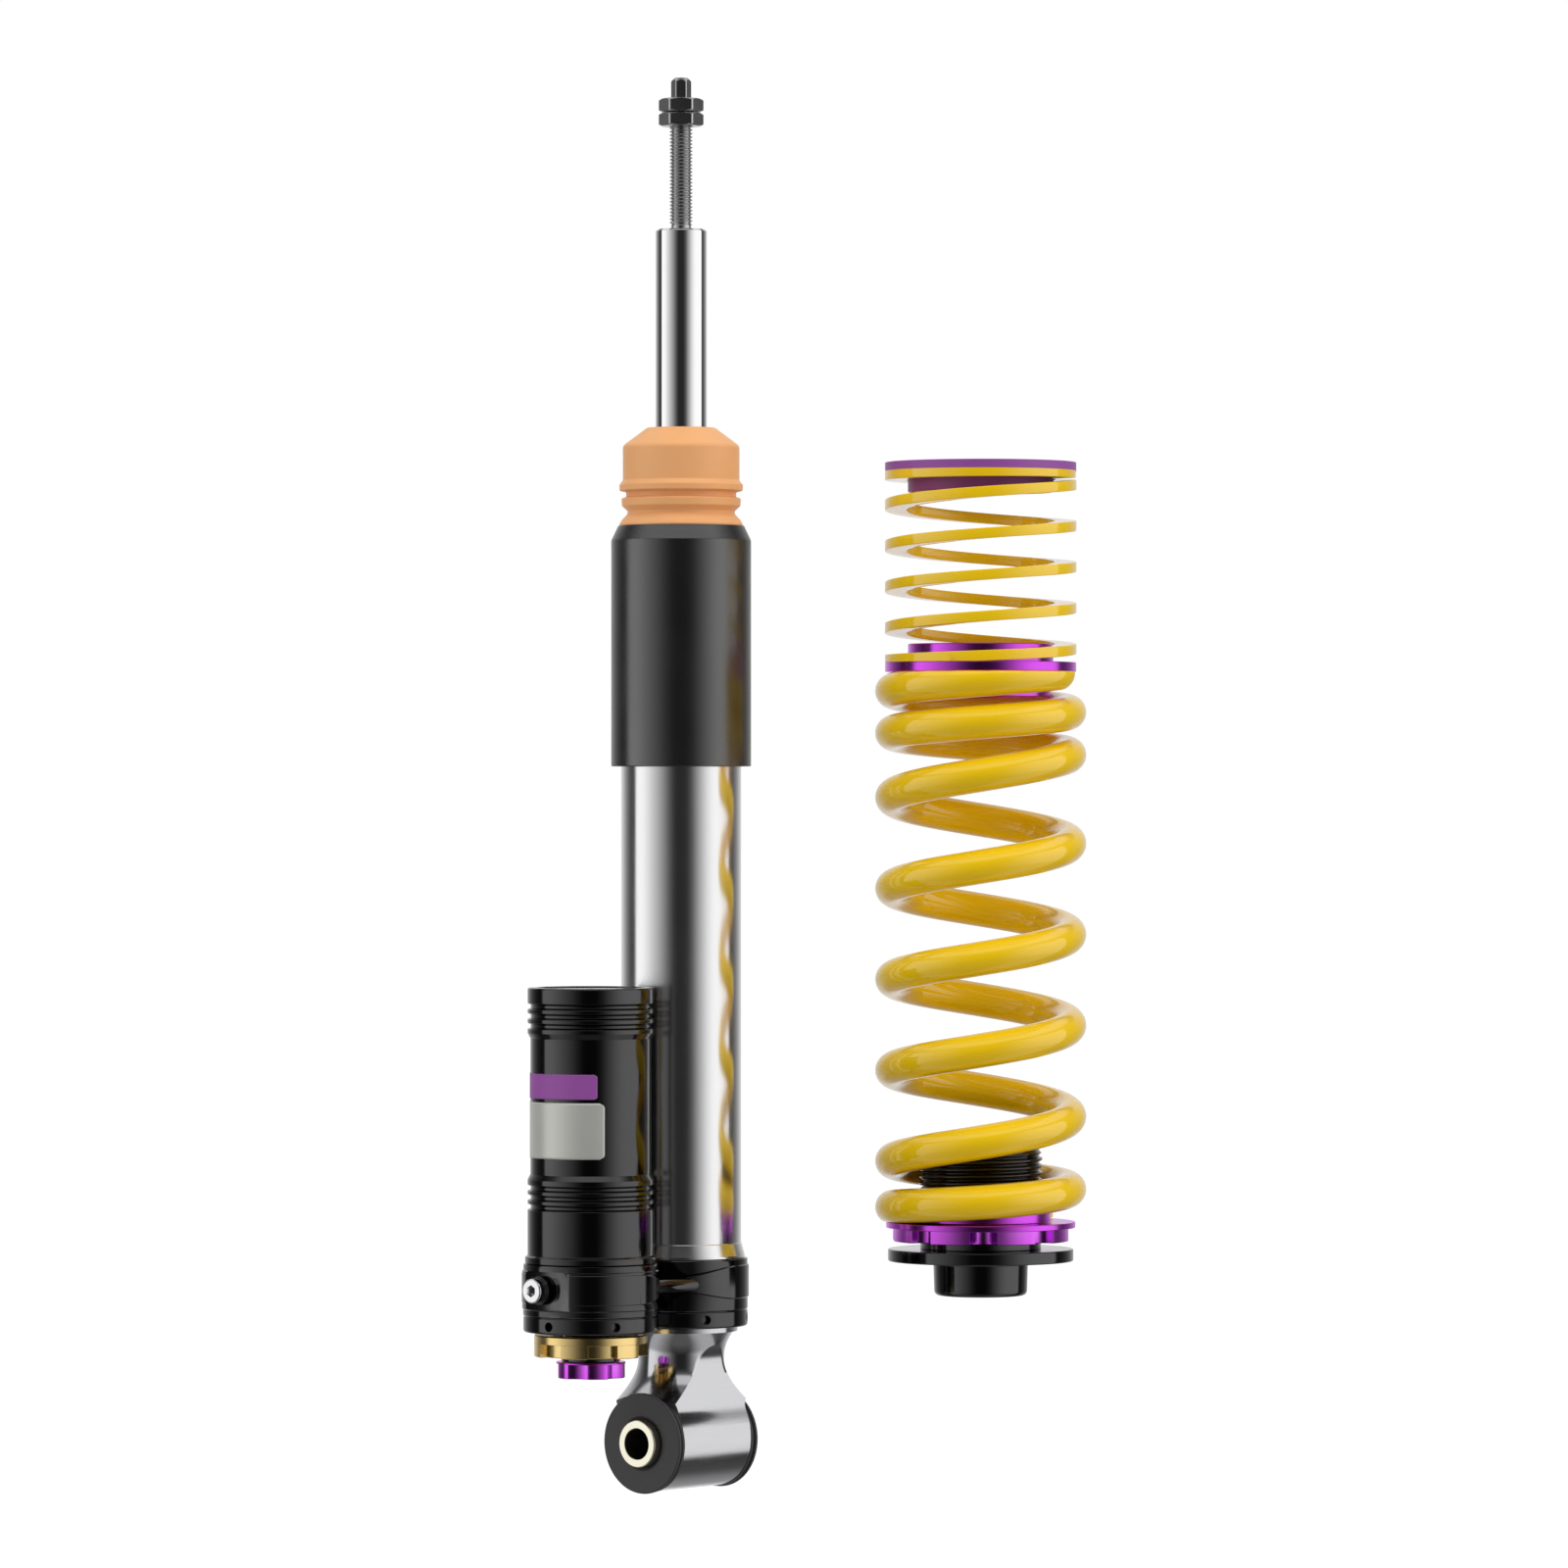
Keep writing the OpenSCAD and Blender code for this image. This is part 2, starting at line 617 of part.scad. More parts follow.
module top_spring_seat() color(purple)
  at_unit() rotate_extrude()
    polygon([[24, cap_z - 9.1], [helper_neck - 0.4, cap_z - 9.1], [helper_neck, cap_z - 8.7],
             [helper_neck, cap_z], [seat_r - 0.3, cap_z], [seat_r, cap_z + 0.3],
             [seat_r, cap_z + 3.4], [seat_r - 0.3, cap_z + 3.7], [24, cap_z + 3.7]]);

// wire centre of the main spring, h half turns down from its upper end
function coil_z(h) =
  sep_z + 0.3 - rise_top * h - (rise_mid - rise_top) * step_area(h, 3.85, 4.45)
  + (rise_mid - rise_low) * step_area(h, 12.8, 14.16);
// wire centre of the helper spring
function flat_z(h) =
  cap_z - 1 - 0.8 * h - (flat_rise - 0.8) * (step_area(h, 1, 2.2) - step_area(h, 9.9, 11.1));

// closed tube of quads through equal rings of points
module swept(rings) {
  m = len(rings[0]);
  k = len(rings);
  pts = [for (r = rings) for (p = r) p];
  sides = [for (i = [0:k - 2]) for (j = [0:m - 1]) for (t = [0, 1])
    let(a = i * m + j, b = i * m + (j + 1) % m, c = a + m, d = b + m)
      t == 0 ? [a, b, d] : [a, d, c]];
  ends = [[for (j = [m - 1:-1:0]) j], [for (j = [0:m - 1]) (k - 1) * m + j]];
  polyhedron(pts, concat(sides, ends), convexity = 12);
}

module main_spring() color(yellow)
  at_unit() {
    steps = 11;   // rings of points per half turn
    sides = 12;   // corners of the wire section
    n = half_turns * steps;
    used = half_turns - tip_cut - heel_cut;
    swept([for (i = [0:n]) let(h = tip_cut + used * i / n, a = 40 - h * 180)
      [for (j = [0:sides - 1]) let(b = (j + 0.5) * 360 / sides, r = coil_r + wire_r * cos(b))
        [r * cos(a), r * sin(a),
         min(sep_z, max(seat_z, coil_z(h) + wire_r * sin(b)))]]]);
  }

module helper_spring() color(yellow)
  at_unit() {
    steps = 12;
    rows = [[flat_in, -1], [flat_out, -1], [flat_out, 1], [flat_in, 1]];
    swept([for (i = [0:138]) let(h = i / steps, a = 40 - h * 180)
      [for (q = rows)
        [q[0] * cos(a), q[0] * sin(a),
         min(cap_z, max(cap_z - 82, flat_z(h) + q[1] * flat_h / 2))]]]);
  }

eye_sleeve();
threaded_sleeve();
eye_lug();
bush_rubber();
tube_lock_ring();
base_block();
damper_tube();
inner_cylinder();
base_valve();
rod_guide();
guide_bush();
rod_seal();
head_cap();
reservoir_body();
reservoir_end_cap();
cap_circlip();
gas_plug();
blank_label();
reservoir_lock_ring();
valve_body();
fill_screw();
fill_screw_seal();
piston_rod();
top_stud();
rebound_stop();
rebound_shims();
main_piston();
piston_band();
compression_shims();
piston_nut();
rebound_needle();
lower_nut();
upper_nut();
bump_stop();
dust_cover();
floating_piston();
floating_piston_seal();
high_speed_knob();
low_speed_knob();
low_speed_spindle();
adjuster_perch();
perch_set_screw();
main_spring();
separator_ring();
helper_spring();
top_spring_seat();
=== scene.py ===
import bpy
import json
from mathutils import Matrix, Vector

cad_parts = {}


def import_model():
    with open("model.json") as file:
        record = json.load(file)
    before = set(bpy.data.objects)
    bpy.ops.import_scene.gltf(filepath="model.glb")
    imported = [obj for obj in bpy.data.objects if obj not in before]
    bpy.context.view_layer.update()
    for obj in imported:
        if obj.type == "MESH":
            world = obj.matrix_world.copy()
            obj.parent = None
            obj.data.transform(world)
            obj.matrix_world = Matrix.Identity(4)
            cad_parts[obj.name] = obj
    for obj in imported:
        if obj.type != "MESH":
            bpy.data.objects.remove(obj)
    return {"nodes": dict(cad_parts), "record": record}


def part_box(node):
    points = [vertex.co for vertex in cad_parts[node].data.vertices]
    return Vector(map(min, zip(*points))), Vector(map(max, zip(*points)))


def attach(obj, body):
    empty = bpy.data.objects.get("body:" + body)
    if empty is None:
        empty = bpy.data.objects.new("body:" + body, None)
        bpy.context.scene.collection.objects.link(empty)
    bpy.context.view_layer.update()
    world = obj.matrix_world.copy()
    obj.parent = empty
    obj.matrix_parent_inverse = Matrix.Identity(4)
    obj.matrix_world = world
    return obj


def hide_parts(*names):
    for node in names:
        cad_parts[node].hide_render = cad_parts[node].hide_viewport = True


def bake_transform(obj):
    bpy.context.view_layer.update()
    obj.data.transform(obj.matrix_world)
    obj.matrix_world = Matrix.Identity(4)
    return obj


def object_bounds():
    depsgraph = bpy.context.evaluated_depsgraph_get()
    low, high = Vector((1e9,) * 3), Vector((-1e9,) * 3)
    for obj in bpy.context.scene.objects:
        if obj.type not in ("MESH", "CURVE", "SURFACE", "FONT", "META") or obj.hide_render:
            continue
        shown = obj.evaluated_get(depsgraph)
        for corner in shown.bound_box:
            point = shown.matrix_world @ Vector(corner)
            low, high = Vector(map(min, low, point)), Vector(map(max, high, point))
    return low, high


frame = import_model()
CAD_BOX = [list(v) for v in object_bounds()]

import json
import math
from types import SimpleNamespace

import bmesh
import bpy
import numpy as np
from mathutils import Vector

MM = 0.001
PI = math.pi
TAU = 2 * PI
nodes = frame["nodes"]
node_body = {n: b for b, ns in frame["record"]["behaviour"]["bodies"].items() for n in ns}
slot_of = {s["node"]: s["material_slot"] for s in frame["record"]["subparts"]}


def box(node):
    """A CAD node's box in millimetres: centre x and y, lowest and highest z, and radius."""
    lo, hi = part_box(node)
    return SimpleNamespace(
        x=(lo[0] + hi[0]) / 2 / MM, y=(lo[1] + hi[1]) / 2 / MM,
        z0=lo[2] / MM, z1=hi[2] / MM, r=(hi[0] - lo[0]) / 2 / MM,
        ry=(hi[1] - lo[1]) / 2 / MM)


# ------------------------------------------------------------------ camera
CAM_AZ = math.radians(40)
TOWARD = Vector((math.sin(CAM_AZ), -math.cos(CAM_AZ), 0))   # from the object to the camera
RIGHT = Vector((math.cos(CAM_AZ), math.sin(CAM_AZ), 0))
CAM_DISTANCE = 3.4735
lo_all, hi_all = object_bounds()
aim = RIGHT * 0.0441 + Vector((0, 0, (lo_all[2] + hi_all[2]) / 2))
cam_data = bpy.data.cameras.new("camera")
cam_data.lens = 186
cam_data.sensor_width = 36
cam_data.clip_end = 50
camera = bpy.data.objects.new("camera", cam_data)
camera.location = aim + TOWARD * CAM_DISTANCE
camera.rotation_euler = (PI / 2, 0, CAM_AZ)
bpy.context.scene.collection.objects.link(camera)
bpy.context.scene.camera = camera
bpy.context.scene.view_settings.view_transform = "Standard"


# ------------------------------------------------------------------ node helpers
class Tree:
    """Short calls for building a node tree."""

    def __init__(self, tree):
        self.t = tree
        tree.nodes.clear()

    def node(self, kind, **values):
        n = self.t.nodes.new(kind)
        for k, v in values.items():
            if hasattr(n, k) and k not in n.inputs:
                setattr(n, k, v)
            else:
                self.put(n.inputs[k], v)
        return n

    def put(self, socket, v):
        if isinstance(v, bpy.types.NodeSocket):
            self.t.links.new(v, socket)
        elif isinstance(v, bpy.types.Node):
            self.t.links.new(v.outputs[0], socket)
        else:
            socket.default_value = v

    def math(self, op, a, b=0.0, clamp=False):
        n = self.t.nodes.new("ShaderNodeMath")
        n.operation = op
        n.use_clamp = clamp
        self.put(n.inputs[0], a)
        self.put(n.inputs[1], b)
        return n.outputs[0]

    def mix(self, fac, a, b):
        n = self.t.nodes.new("ShaderNodeMix")
        n.data_type = "RGBA"
        self.put(n.inputs[0], fac)
        self.put(n.inputs[6], a)
        self.put(n.inputs[7], b)
        return n.outputs[2]

    def ramp(self, fac, stops, interpolation="LINEAR"):
        n = self.t.nodes.new("ShaderNodeValToRGB")
        n.color_ramp.interpolation = interpolation
        el = n.color_ramp.elements
        for i, (pos, value) in enumerate(stops):
            e = el[i] if i < 2 else el.new(pos)
            e.position = pos
            e.color = (value, value, value, 1) if isinstance(value, (int, float)) else (*value, 1)
        self.put(n.inputs[0], fac)
        return n.outputs[0]

    def span(self, v, a, b, c, d):
        n = self.t.nodes.new("ShaderNodeMapRange")
        self.put(n.inputs[0], v)
        for i, x in enumerate((a, b, c, d)):
            n.inputs[i + 1].default_value = x
        return n.outputs[0]

    def noise(self, scale, vector, detail=3.0, rough=0.5):
        n = self.t.nodes.new("ShaderNodeTexNoise")
        n.inputs["Scale"].default_value = scale
        n.inputs["Detail"].default_value = detail
        n.inputs["Roughness"].default_value = rough
        self.put(n.inputs["Vector"], vector)
        return n.outputs[0]


def material(name, color, rough, metallic=0.0, spec=0.5, coat=0.0, coat_rough=0.05, coat_ior=1.5,
             aniso=0.0, grain=None, grain_bump=0.0, peel=0.0, peel_scale=600.0, cells=0.0,
             cell_scale=1500.0, vary=0.03, smudge=0.04, wear=0.0, wear_color=(0.75, 0.75, 0.77),
             sss=0.0, ior=1.45, dust=0.0):
    """A procedural finish. grain is the stretch of turned or brushed lines along x, y and z."""
    m = bpy.data.materials.new(name)
    m.use_nodes = True
    t = Tree(m.node_tree)
    out = t.node("ShaderNodeOutputMaterial")
    p = t.node("ShaderNodeBsdfPrincipled")
    t.put(out.inputs["Surface"], p)
    for socket, value in (("Metallic", metallic), ("Specular IOR Level", spec), ("IOR", ior),
                          ("Coat Weight", coat), ("Coat Roughness", coat_rough),
                          ("Coat IOR", coat_ior), ("Anisotropic", aniso),
                          ("Subsurface Weight", sss), ("Subsurface Radius", (0.004, 0.002, 0.001))):
        p.inputs[socket].default_value = value
    where = t.node("ShaderNodeTexCoord").outputs["Object"]
    broad = t.noise(28.0, where, 4.0, 0.6)
    fine = t.noise(900.0, where, 2.0)
    base = t.mix(t.span(broad, 0.3, 0.7, 0.0, 1.0),
                 tuple(c * (1 - vary) for c in color) + (1,),
                 tuple(min(1, c * (1 + vary)) for c in color) + (1,))
    if dust:
        up = t.node("ShaderNodeSeparateXYZ", Vector=t.node("ShaderNodeNewGeometry").outputs[1])
        fac = t.math("MULTIPLY", t.math("MAXIMUM", up.outputs[2], 0.0), dust)
        base = t.mix(t.math("MULTIPLY", fac, fine), base, (0.55, 0.54, 0.52, 1))
    if wear:
        edge = t.node("ShaderNodeNewGeometry").outputs["Pointiness"]
        edge = t.span(edge, 0.54, 0.62, 0.0, 1.0)
        edge = t.math("MULTIPLY", edge, t.span(broad, 0.45, 0.7, 0.2, 1.0))
        base = t.mix(t.math("MULTIPLY", edge, wear, clamp=True), base, wear_color + (1,))
    t.put(p.inputs["Base Color"], base)
    rv = t.math("ADD", t.span(broad, 0.25, 0.75, -smudge, smudge), rough)
    height = None
    if grain:
        g = t.node("ShaderNodeMapping", Vector=where, Scale=grain)
        lines = t.noise(1.0, g, 3.0, 0.65)
        rv = t.math("ADD", rv, t.span(lines, 0.3, 0.7, -0.5 * smudge, smudge))
        height = t.math("MULTIPLY", lines, grain_bump)
    if peel:
        h = t.math("MULTIPLY", t.noise(peel_scale, where, 2.0, 0.4), peel)
        height = t.math("ADD", height, h) if height else h
    if cells:
        v = t.node("ShaderNodeTexVoronoi", Scale=cell_scale, Vector=where)
        h = t.math("MULTIPLY", t.span(v.outputs[0], 0.0, 0.6, 0.0, 1.0), cells)
        height = t.math("ADD", height, h) if height else h
    t.put(p.inputs["Roughness"], t.math("MAXIMUM", rv, 0.015))
    if height:
        b = t.node("ShaderNodeBump", Height=height, Strength=1.0, Distance=0.001)
        t.put(p.inputs["Normal"], b)
    return m


TURNED = (30, 30, 9000)
M = SimpleNamespace(
    black=material("black_anodised", (0.085, 0.085, 0.087), 0.10, metallic=1.0, grain=TURNED,
                   grain_bump=0.004, wear=0.25, wear_color=(0.35, 0.35, 0.36), smudge=0.03),
    cover=material("cover_plastic", (0.0085, 0.0085, 0.0088), 0.25, spec=0.5, ior=2.2, peel=0.03,
                   peel_scale=2500, vary=0.1, smudge=0.05),
    chrome=material("rod_chrome", (0.93, 0.93, 0.94), 0.035, metallic=1.0, smudge=0.015, vary=0.01,
                    grain=(400, 400, 3000), grain_bump=0.0015),
    tube=material("tube_steel", (0.90, 0.90, 0.91), 0.17, metallic=1.0, smudge=0.02, vary=0.015,
                  grain=(900, 900, 60), grain_bump=0.0025),
    lug=material("lug_polished", (0.64, 0.64, 0.66), 0.13, metallic=1.0, smudge=0.04,
                 grain=(60, 60, 1500), grain_bump=0.004),
    lug_side=material("lug_brushed", (0.35, 0.35, 0.36), 0.25, metallic=1.0, smudge=0.05, aniso=0.5,
                      grain=(900, 25, 900), grain_bump=0.012),
    rubber=material("bush_rubber", (0.048, 0.048, 0.050), 0.40, spec=0.40, peel=0.03,
                    peel_scale=1800, vary=0.08, dust=0.1),
    zinc=material("yellow_zinc", (0.97, 0.92, 0.74), 0.22, metallic=1.0, vary=0.06,
                  grain=(1500, 60, 1500), grain_bump=0.004),
    silver=material("silver_aluminium", (0.72, 0.72, 0.74), 0.25, metallic=1.0,
                    grain=(3000, 3000, 3000), grain_bump=0.002),
    screw=material("zinc_screw", (0.88, 0.88, 0.90), 0.16, metallic=1.0, smudge=0.03,
                   grain=(2500, 100, 2500), grain_bump=0.003),
    steel=material("machined_steel", (0.48, 0.48, 0.50), 0.28, metallic=1.0, grain=TURNED,
                   grain_bump=0.01),
    bronze=material("bronze", (0.55, 0.40, 0.18), 0.3, metallic=1.0, grain=TURNED, grain_bump=0.01),
    stud=material("phosphated_steel", (0.58, 0.58, 0.585), 0.23, metallic=1.0, peel=0.015,
                  peel_scale=2500, vary=0.08, wear=0.5, wear_color=(0.55, 0.55, 0.56)),
    foam=material("cellular_foam", (0.90, 0.445, 0.18), 0.42, spec=0.6, cells=0.02,
                  cell_scale=1300, peel=0.02, peel_scale=800, sss=0.15, vary=0.03),
    gold=material("gold_anodised", (0.92, 0.68, 0.28), 0.20, metallic=1.0, grain=TURNED,
                  grain_bump=0.006, wear=0.3, wear_color=(0.95, 0.8, 0.5)),
    purple=material("purple_anodised", (0.72, 0.10, 0.88), 0.20, metallic=1.0, grain=TURNED,
                    grain_bump=0.005, wear=0.3, wear_color=(0.85, 0.6, 0.95)),
    purple_matt=material("purple_matt", (0.30, 0.075, 0.35), 0.42, spec=0.5, grain=TURNED,
                         grain_bump=0.006, vary=0.05),
    yellow=material("yellow_powder_coat", (0.96, 0.62, 0.003), 0.30, spec=0.2, coat=1.0,
                    coat_rough=0.03, coat_ior=1.65, peel=0.0025, peel_scale=120, vary=0.02,
                    smudge=0.03),
    # painted shade: the inside of the sleeve's bore is coloured near black for the shade that fills it
    bore=material("sleeve_bore", (0.02, 0.018, 0.014), 0.45, metallic=0.3, grain=(1500, 60, 1500),
                  grain_bump=0.006),
    foil=material("label_foil", (0.62, 0.62, 0.58), 0.33, metallic=0.4, smudge=0.05, vary=0.02),
)
BY_SLOT = {
    "zinc_sleeve": M.zinc, "black_anodised": M.black, "lug_steel": M.lug, "rubber": M.rubber,
    "tube_steel": M.tube, "plain_steel": M.steel, "silver_aluminium": M.silver,
    "bronze": M.bronze, "label_foil": M.foil, "zinc_screw": M.screw, "rod_chrome": M.chrome,
    "stud_steel": M.stud, "foam": M.foam, "cover_plastic": M.cover, "gold_anodised": M.gold,
    "purple_anodised": M.purple, "purple_matt": M.purple_matt, "yellow_coat": M.yellow,
}
# every CAD node that stays takes its slot's finish
for name, obj in nodes.items():
    obj.data.materials.clear()
    obj.data.materials.append(BY_SLOT[slot_of[name]])


# ------------------------------------------------------------------ mesh helpers
def piece(name, verts, faces, mat, node, sharp=40, extra=(), mats=None, mat_ids=None, weld=1e-4,
          body=None):
    """A finished piece from millimetre points, standing for a CAD node and riding on its body."""
    me = bpy.data.meshes.new(name)
    me.from_pydata([tuple(v) for v in np.asarray(verts, float) * MM], [], faces)
    o = bpy.data.objects.new(name, me)
    bpy.context.scene.collection.objects.link(o)
    for m in mats or [mat]:
        me.materials.append(m)
    if mat_ids is not None:
        me.polygons.foreach_set("material_index", mat_ids)
    tidy(o, sharp, weld)
    hold(o, node, extra, body)
    return o


def tidy(o, sharp=40, weld=1e-4):
    """Weld, clean and shade a mesh."""
    bm = bmesh.new()
    bm.from_mesh(o.data)
    bmesh.ops.remove_doubles(bm, verts=bm.verts, dist=weld * MM * 10)
    bmesh.ops.dissolve_degenerate(bm, edges=bm.edges, dist=1e-7)
    bmesh.ops.recalc_face_normals(bm, faces=bm.faces)
    bm.to_mesh(o.data)
    bm.free()
    o.data.shade_smooth()
    o.data.set_sharp_from_angle(angle=math.radians(sharp))


def hold(o, node, extra=(), body=None):
    if not any(m.type == "WEIGHTED_NORMAL" for m in o.modifiers):
        w = o.modifiers.new("weighted", "WEIGHTED_NORMAL")
        w.keep_sharp = True
    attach(o, body or node_body[node])
    if node:
        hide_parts(node, *extra)


def fillet(points, radius, n=4):
    """A closed (r, z) outline with every corner off the axis rounded; a third number in a point
    is that corner's own radius."""
    out = []
    k = len(points)
    for i in range(k):
        p = np.array(points[i][:2], float)
        a = np.array(points[i - 1][:2], float)
        b = np.array(points[(i + 1) % k][:2], float)
        rad = points[i][2] if len(points[i]) > 2 else radius
        if rad <= 0 or p[0] < 1e-6:
            out.append(tuple(p))
            continue
        u, v = a - p, b - p
        lu, lv = np.linalg.norm(u), np.linalg.norm(v)
        u, v = u / lu, v / lv
        half = math.acos(max(-1, min(1, float(u @ v)))) / 2
        if half > PI / 2 - 0.03:
            out.append(tuple(p))
            continue
        cut = min(rad / math.tan(half), 0.48 * lu, 0.48 * lv)
        rad = cut * math.tan(half)
        bis = (u + v) / np.linalg.norm(u + v)
        centre = p + bis * (rad / math.sin(half))
        s, e = p + u * cut - centre, p + v * cut - centre
        a0, a1 = math.atan2(s[1], s[0]), math.atan2(e[1], e[0])
        d = (a1 - a0 + PI) % TAU - PI
        out += [tuple(centre + rad * np.array([math.cos(a0 + d * j / n), math.sin(a0 + d * j / n)]))
                for j in range(n + 1)]
    return out


def spin(profile, at=(0, 0), seg=160, axis="z"):
    """Revolves a closed outline; axis y turns it round a line along Y at height at[1]."""
    verts, rows = [], []
    for r, z in profile:
        if r < 1e-6:
            rows.append([len(verts)])
            verts.append((0, 0, z))
        else:
            rows.append(list(range(len(verts), len(verts) + seg)))
            for i in range(seg):
                a = TAU * i / seg
                verts.append((r * math.cos(a), r * math.sin(a), z))
    faces = []
    for j in range(len(rows)):
        a, b = rows[j], rows[(j + 1) % len(rows)]
        if len(a) == 1 and len(b) == 1:
            continue
        for i in range(seg):
            k = (i + 1) % seg
            if len(a) == 1:
                faces.append((a[0], b[k], b[i]))
            elif len(b) == 1:
                faces.append((a[i], a[k], b[0]))
            else:
                faces.append((a[i], a[k], b[k], b[i]))
    v = np.array(verts, float)
    if axis == "z":
        v[:, 0] += at[0]
        v[:, 1] += at[1]
    else:   # along -Y, from a point at (x, y, z)
        v = np.stack([v[:, 0] + at[0], at[1] - v[:, 2], v[:, 1] + at[2]], axis=1)
    return v, faces


def turned(name, node, profile, radius=0.3, at=(0, 0), axis="z", n=4):
    v, f = spin(fillet(profile, radius, n), at, axis=axis)
    return piece(name, v, f, BY_SLOT[slot_of[node]], node)


def prism(outline, hole, z0, z1, bevel, at):
    """A slab with any outline, a round hole and a rounded lower rim."""
    o = np.array(outline, float)
    e = np.roll(o, -1, 0) - o
    nrm = np.stack([e[:, 1], -e[:, 0]], 1) / np.linalg.norm(e, axis=1)[:, None]
    bis = nrm + np.roll(nrm, 1, 0)
    bis /= np.maximum(np.linalg.norm(bis, axis=1)[:, None], 1e-6)
    bis /= np.maximum((bis * nrm).sum(1)[:, None], 0.6)
    steps = 3
    loops = []
    for s in range(steps + 1):
        a = PI / 2 * s / steps
        loops.append((o - bis * bevel * (1 - math.sin(a)), z0 + bevel * (1 - math.cos(a))))
    loops.append((o, z1))
    bm = bmesh.new()
    rings = [[bm.verts.new((p[0] + at[0], p[1] + at[1], z)) for p in pts] for pts, z in loops]
    k = len(o)
    for a, b in zip(rings, rings[1:]):
        for i in range(k):
            bm.faces.new((a[i], a[(i + 1) % k], b[(i + 1) % k], b[i]))
    seg = 160
    circ = [(hole * math.cos(TAU * i / seg) + at[0], hole * math.sin(TAU * i / seg) + at[1])
            for i in range(seg)]
    inner = [[bm.verts.new((x, y, z)) for x, y in circ] for z in (z0, z1)]
    for i in range(seg):
        bm.faces.new((inner[0][i], inner[1][i], inner[1][(i + 1) % seg], inner[0][(i + 1) % seg]))
    bm.edges.ensure_lookup_table()
    for ring, hole_ring in ((rings[0], inner[0]), (rings[-1], inner[1])):
        edges = []
        for loop in (ring, hole_ring):
            for i in range(len(loop)):
                edges.append(bm.edges.get((loop[i], loop[(i + 1) % len(loop)])))
        bmesh.ops.triangle_fill(bm, use_beauty=True, edges=edges)
    v = [tuple(x.co) for x in bm.verts]
    bm.verts.index_update()
    f = [tuple(x.index for x in face.verts) for face in bm.faces]
    bm.free()
    return v, f


def joined(*parts):
    """Several (verts, faces) as one."""
    verts, faces = [], []
    for v, f in parts:
        k = len(verts)
        verts += [tuple(p) for p in v]
        faces += [tuple(i + k for i in face) for face in f]
    return verts, faces


def skin(rows, cols, around=True, over=False):
    """Quads between rows of points; around closes each row, over joins the last to the first."""
    faces = []
    for j in range(rows if over else rows - 1):
        for i in range(cols if around else cols - 1):
            k, jj = (i + 1) % cols, (j + 1) % rows
            faces.append((j * cols + i, j * cols + k, jj * cols + k, jj * cols + i))
    return faces


def caps(rows, cols):
    """The two end faces of such a skin."""
    return [tuple(range(cols - 1, -1, -1)), tuple((rows - 1) * cols + i for i in range(cols))]


def cut(o, cutters):
    """Cuts closed (verts, faces) shapes out of a piece, and bakes the result."""
    v, f = joined(*cutters)
    me = bpy.data.meshes.new("cutter")
    me.from_pydata([tuple(p) for p in np.asarray(v, float) * MM], [], f)
    c = bpy.data.objects.new("cutter", me)
    bpy.context.scene.collection.objects.link(c)
    tidy(c)
    o.modifiers.clear()
    b = o.modifiers.new("cut", "BOOLEAN")
    b.operation = "DIFFERENCE"
    b.solver = "EXACT"
    b.use_self = len(cutters) > 1
    b.object = c
    dg = bpy.context.evaluated_depsgraph_get()
    new = bpy.data.meshes.new_from_object(o.evaluated_get(dg))
    o.modifiers.clear()
    mats = [m for m in o.data.materials]
    o.data = new
    o.data.materials.clear()
    for m in mats:
        o.data.materials.append(m)
    bpy.data.objects.remove(c)
    tidy(o)
    w = o.modifiers.new("weighted", "WEIGHTED_NORMAL")
    w.keep_sharp = True


def rod_shape(p, direction, r, length, seg=32):
    """A closed cylinder from p along a direction, for cutting."""
    d = Vector(direction).normalized()
    u = d.orthogonal().normalized()
    w = d.cross(u)
    v = []
    for s in (0, length):
        for i in range(seg):
            a = TAU * i / seg
            v.append(Vector(p) + d * s + u * r * math.cos(a) + w * r * math.sin(a))
    return v, skin(2, seg) + caps(2, seg)


def hex_star(af, radius=0.3, flat_steps=8, arc_steps=8):
    """Directions and radii of a hexagon with rounded edges, for polar grids."""
    half = af / 2
    reach = (half - radius) * math.tan(PI / 6)
    edge = math.atan2(reach, half)                 # where a flat ends and its rounding starts
    c = (half - radius) / math.cos(PI / 6)
    out = []
    for k in range(6):
        for j in range(flat_steps):
            a = -edge + 2 * edge * j / flat_steps
            out.append((a + k * PI / 3, half / math.cos(a)))
        for j in range(arc_steps):
            b = (PI / 6 - edge) * (2 * j / arc_steps - 1)
            r = c * math.cos(b) + math.sqrt(max(0.0, radius ** 2 - (c * math.sin(b)) ** 2))
            out.append((PI / 6 + b + k * PI / 3, r))
    return out


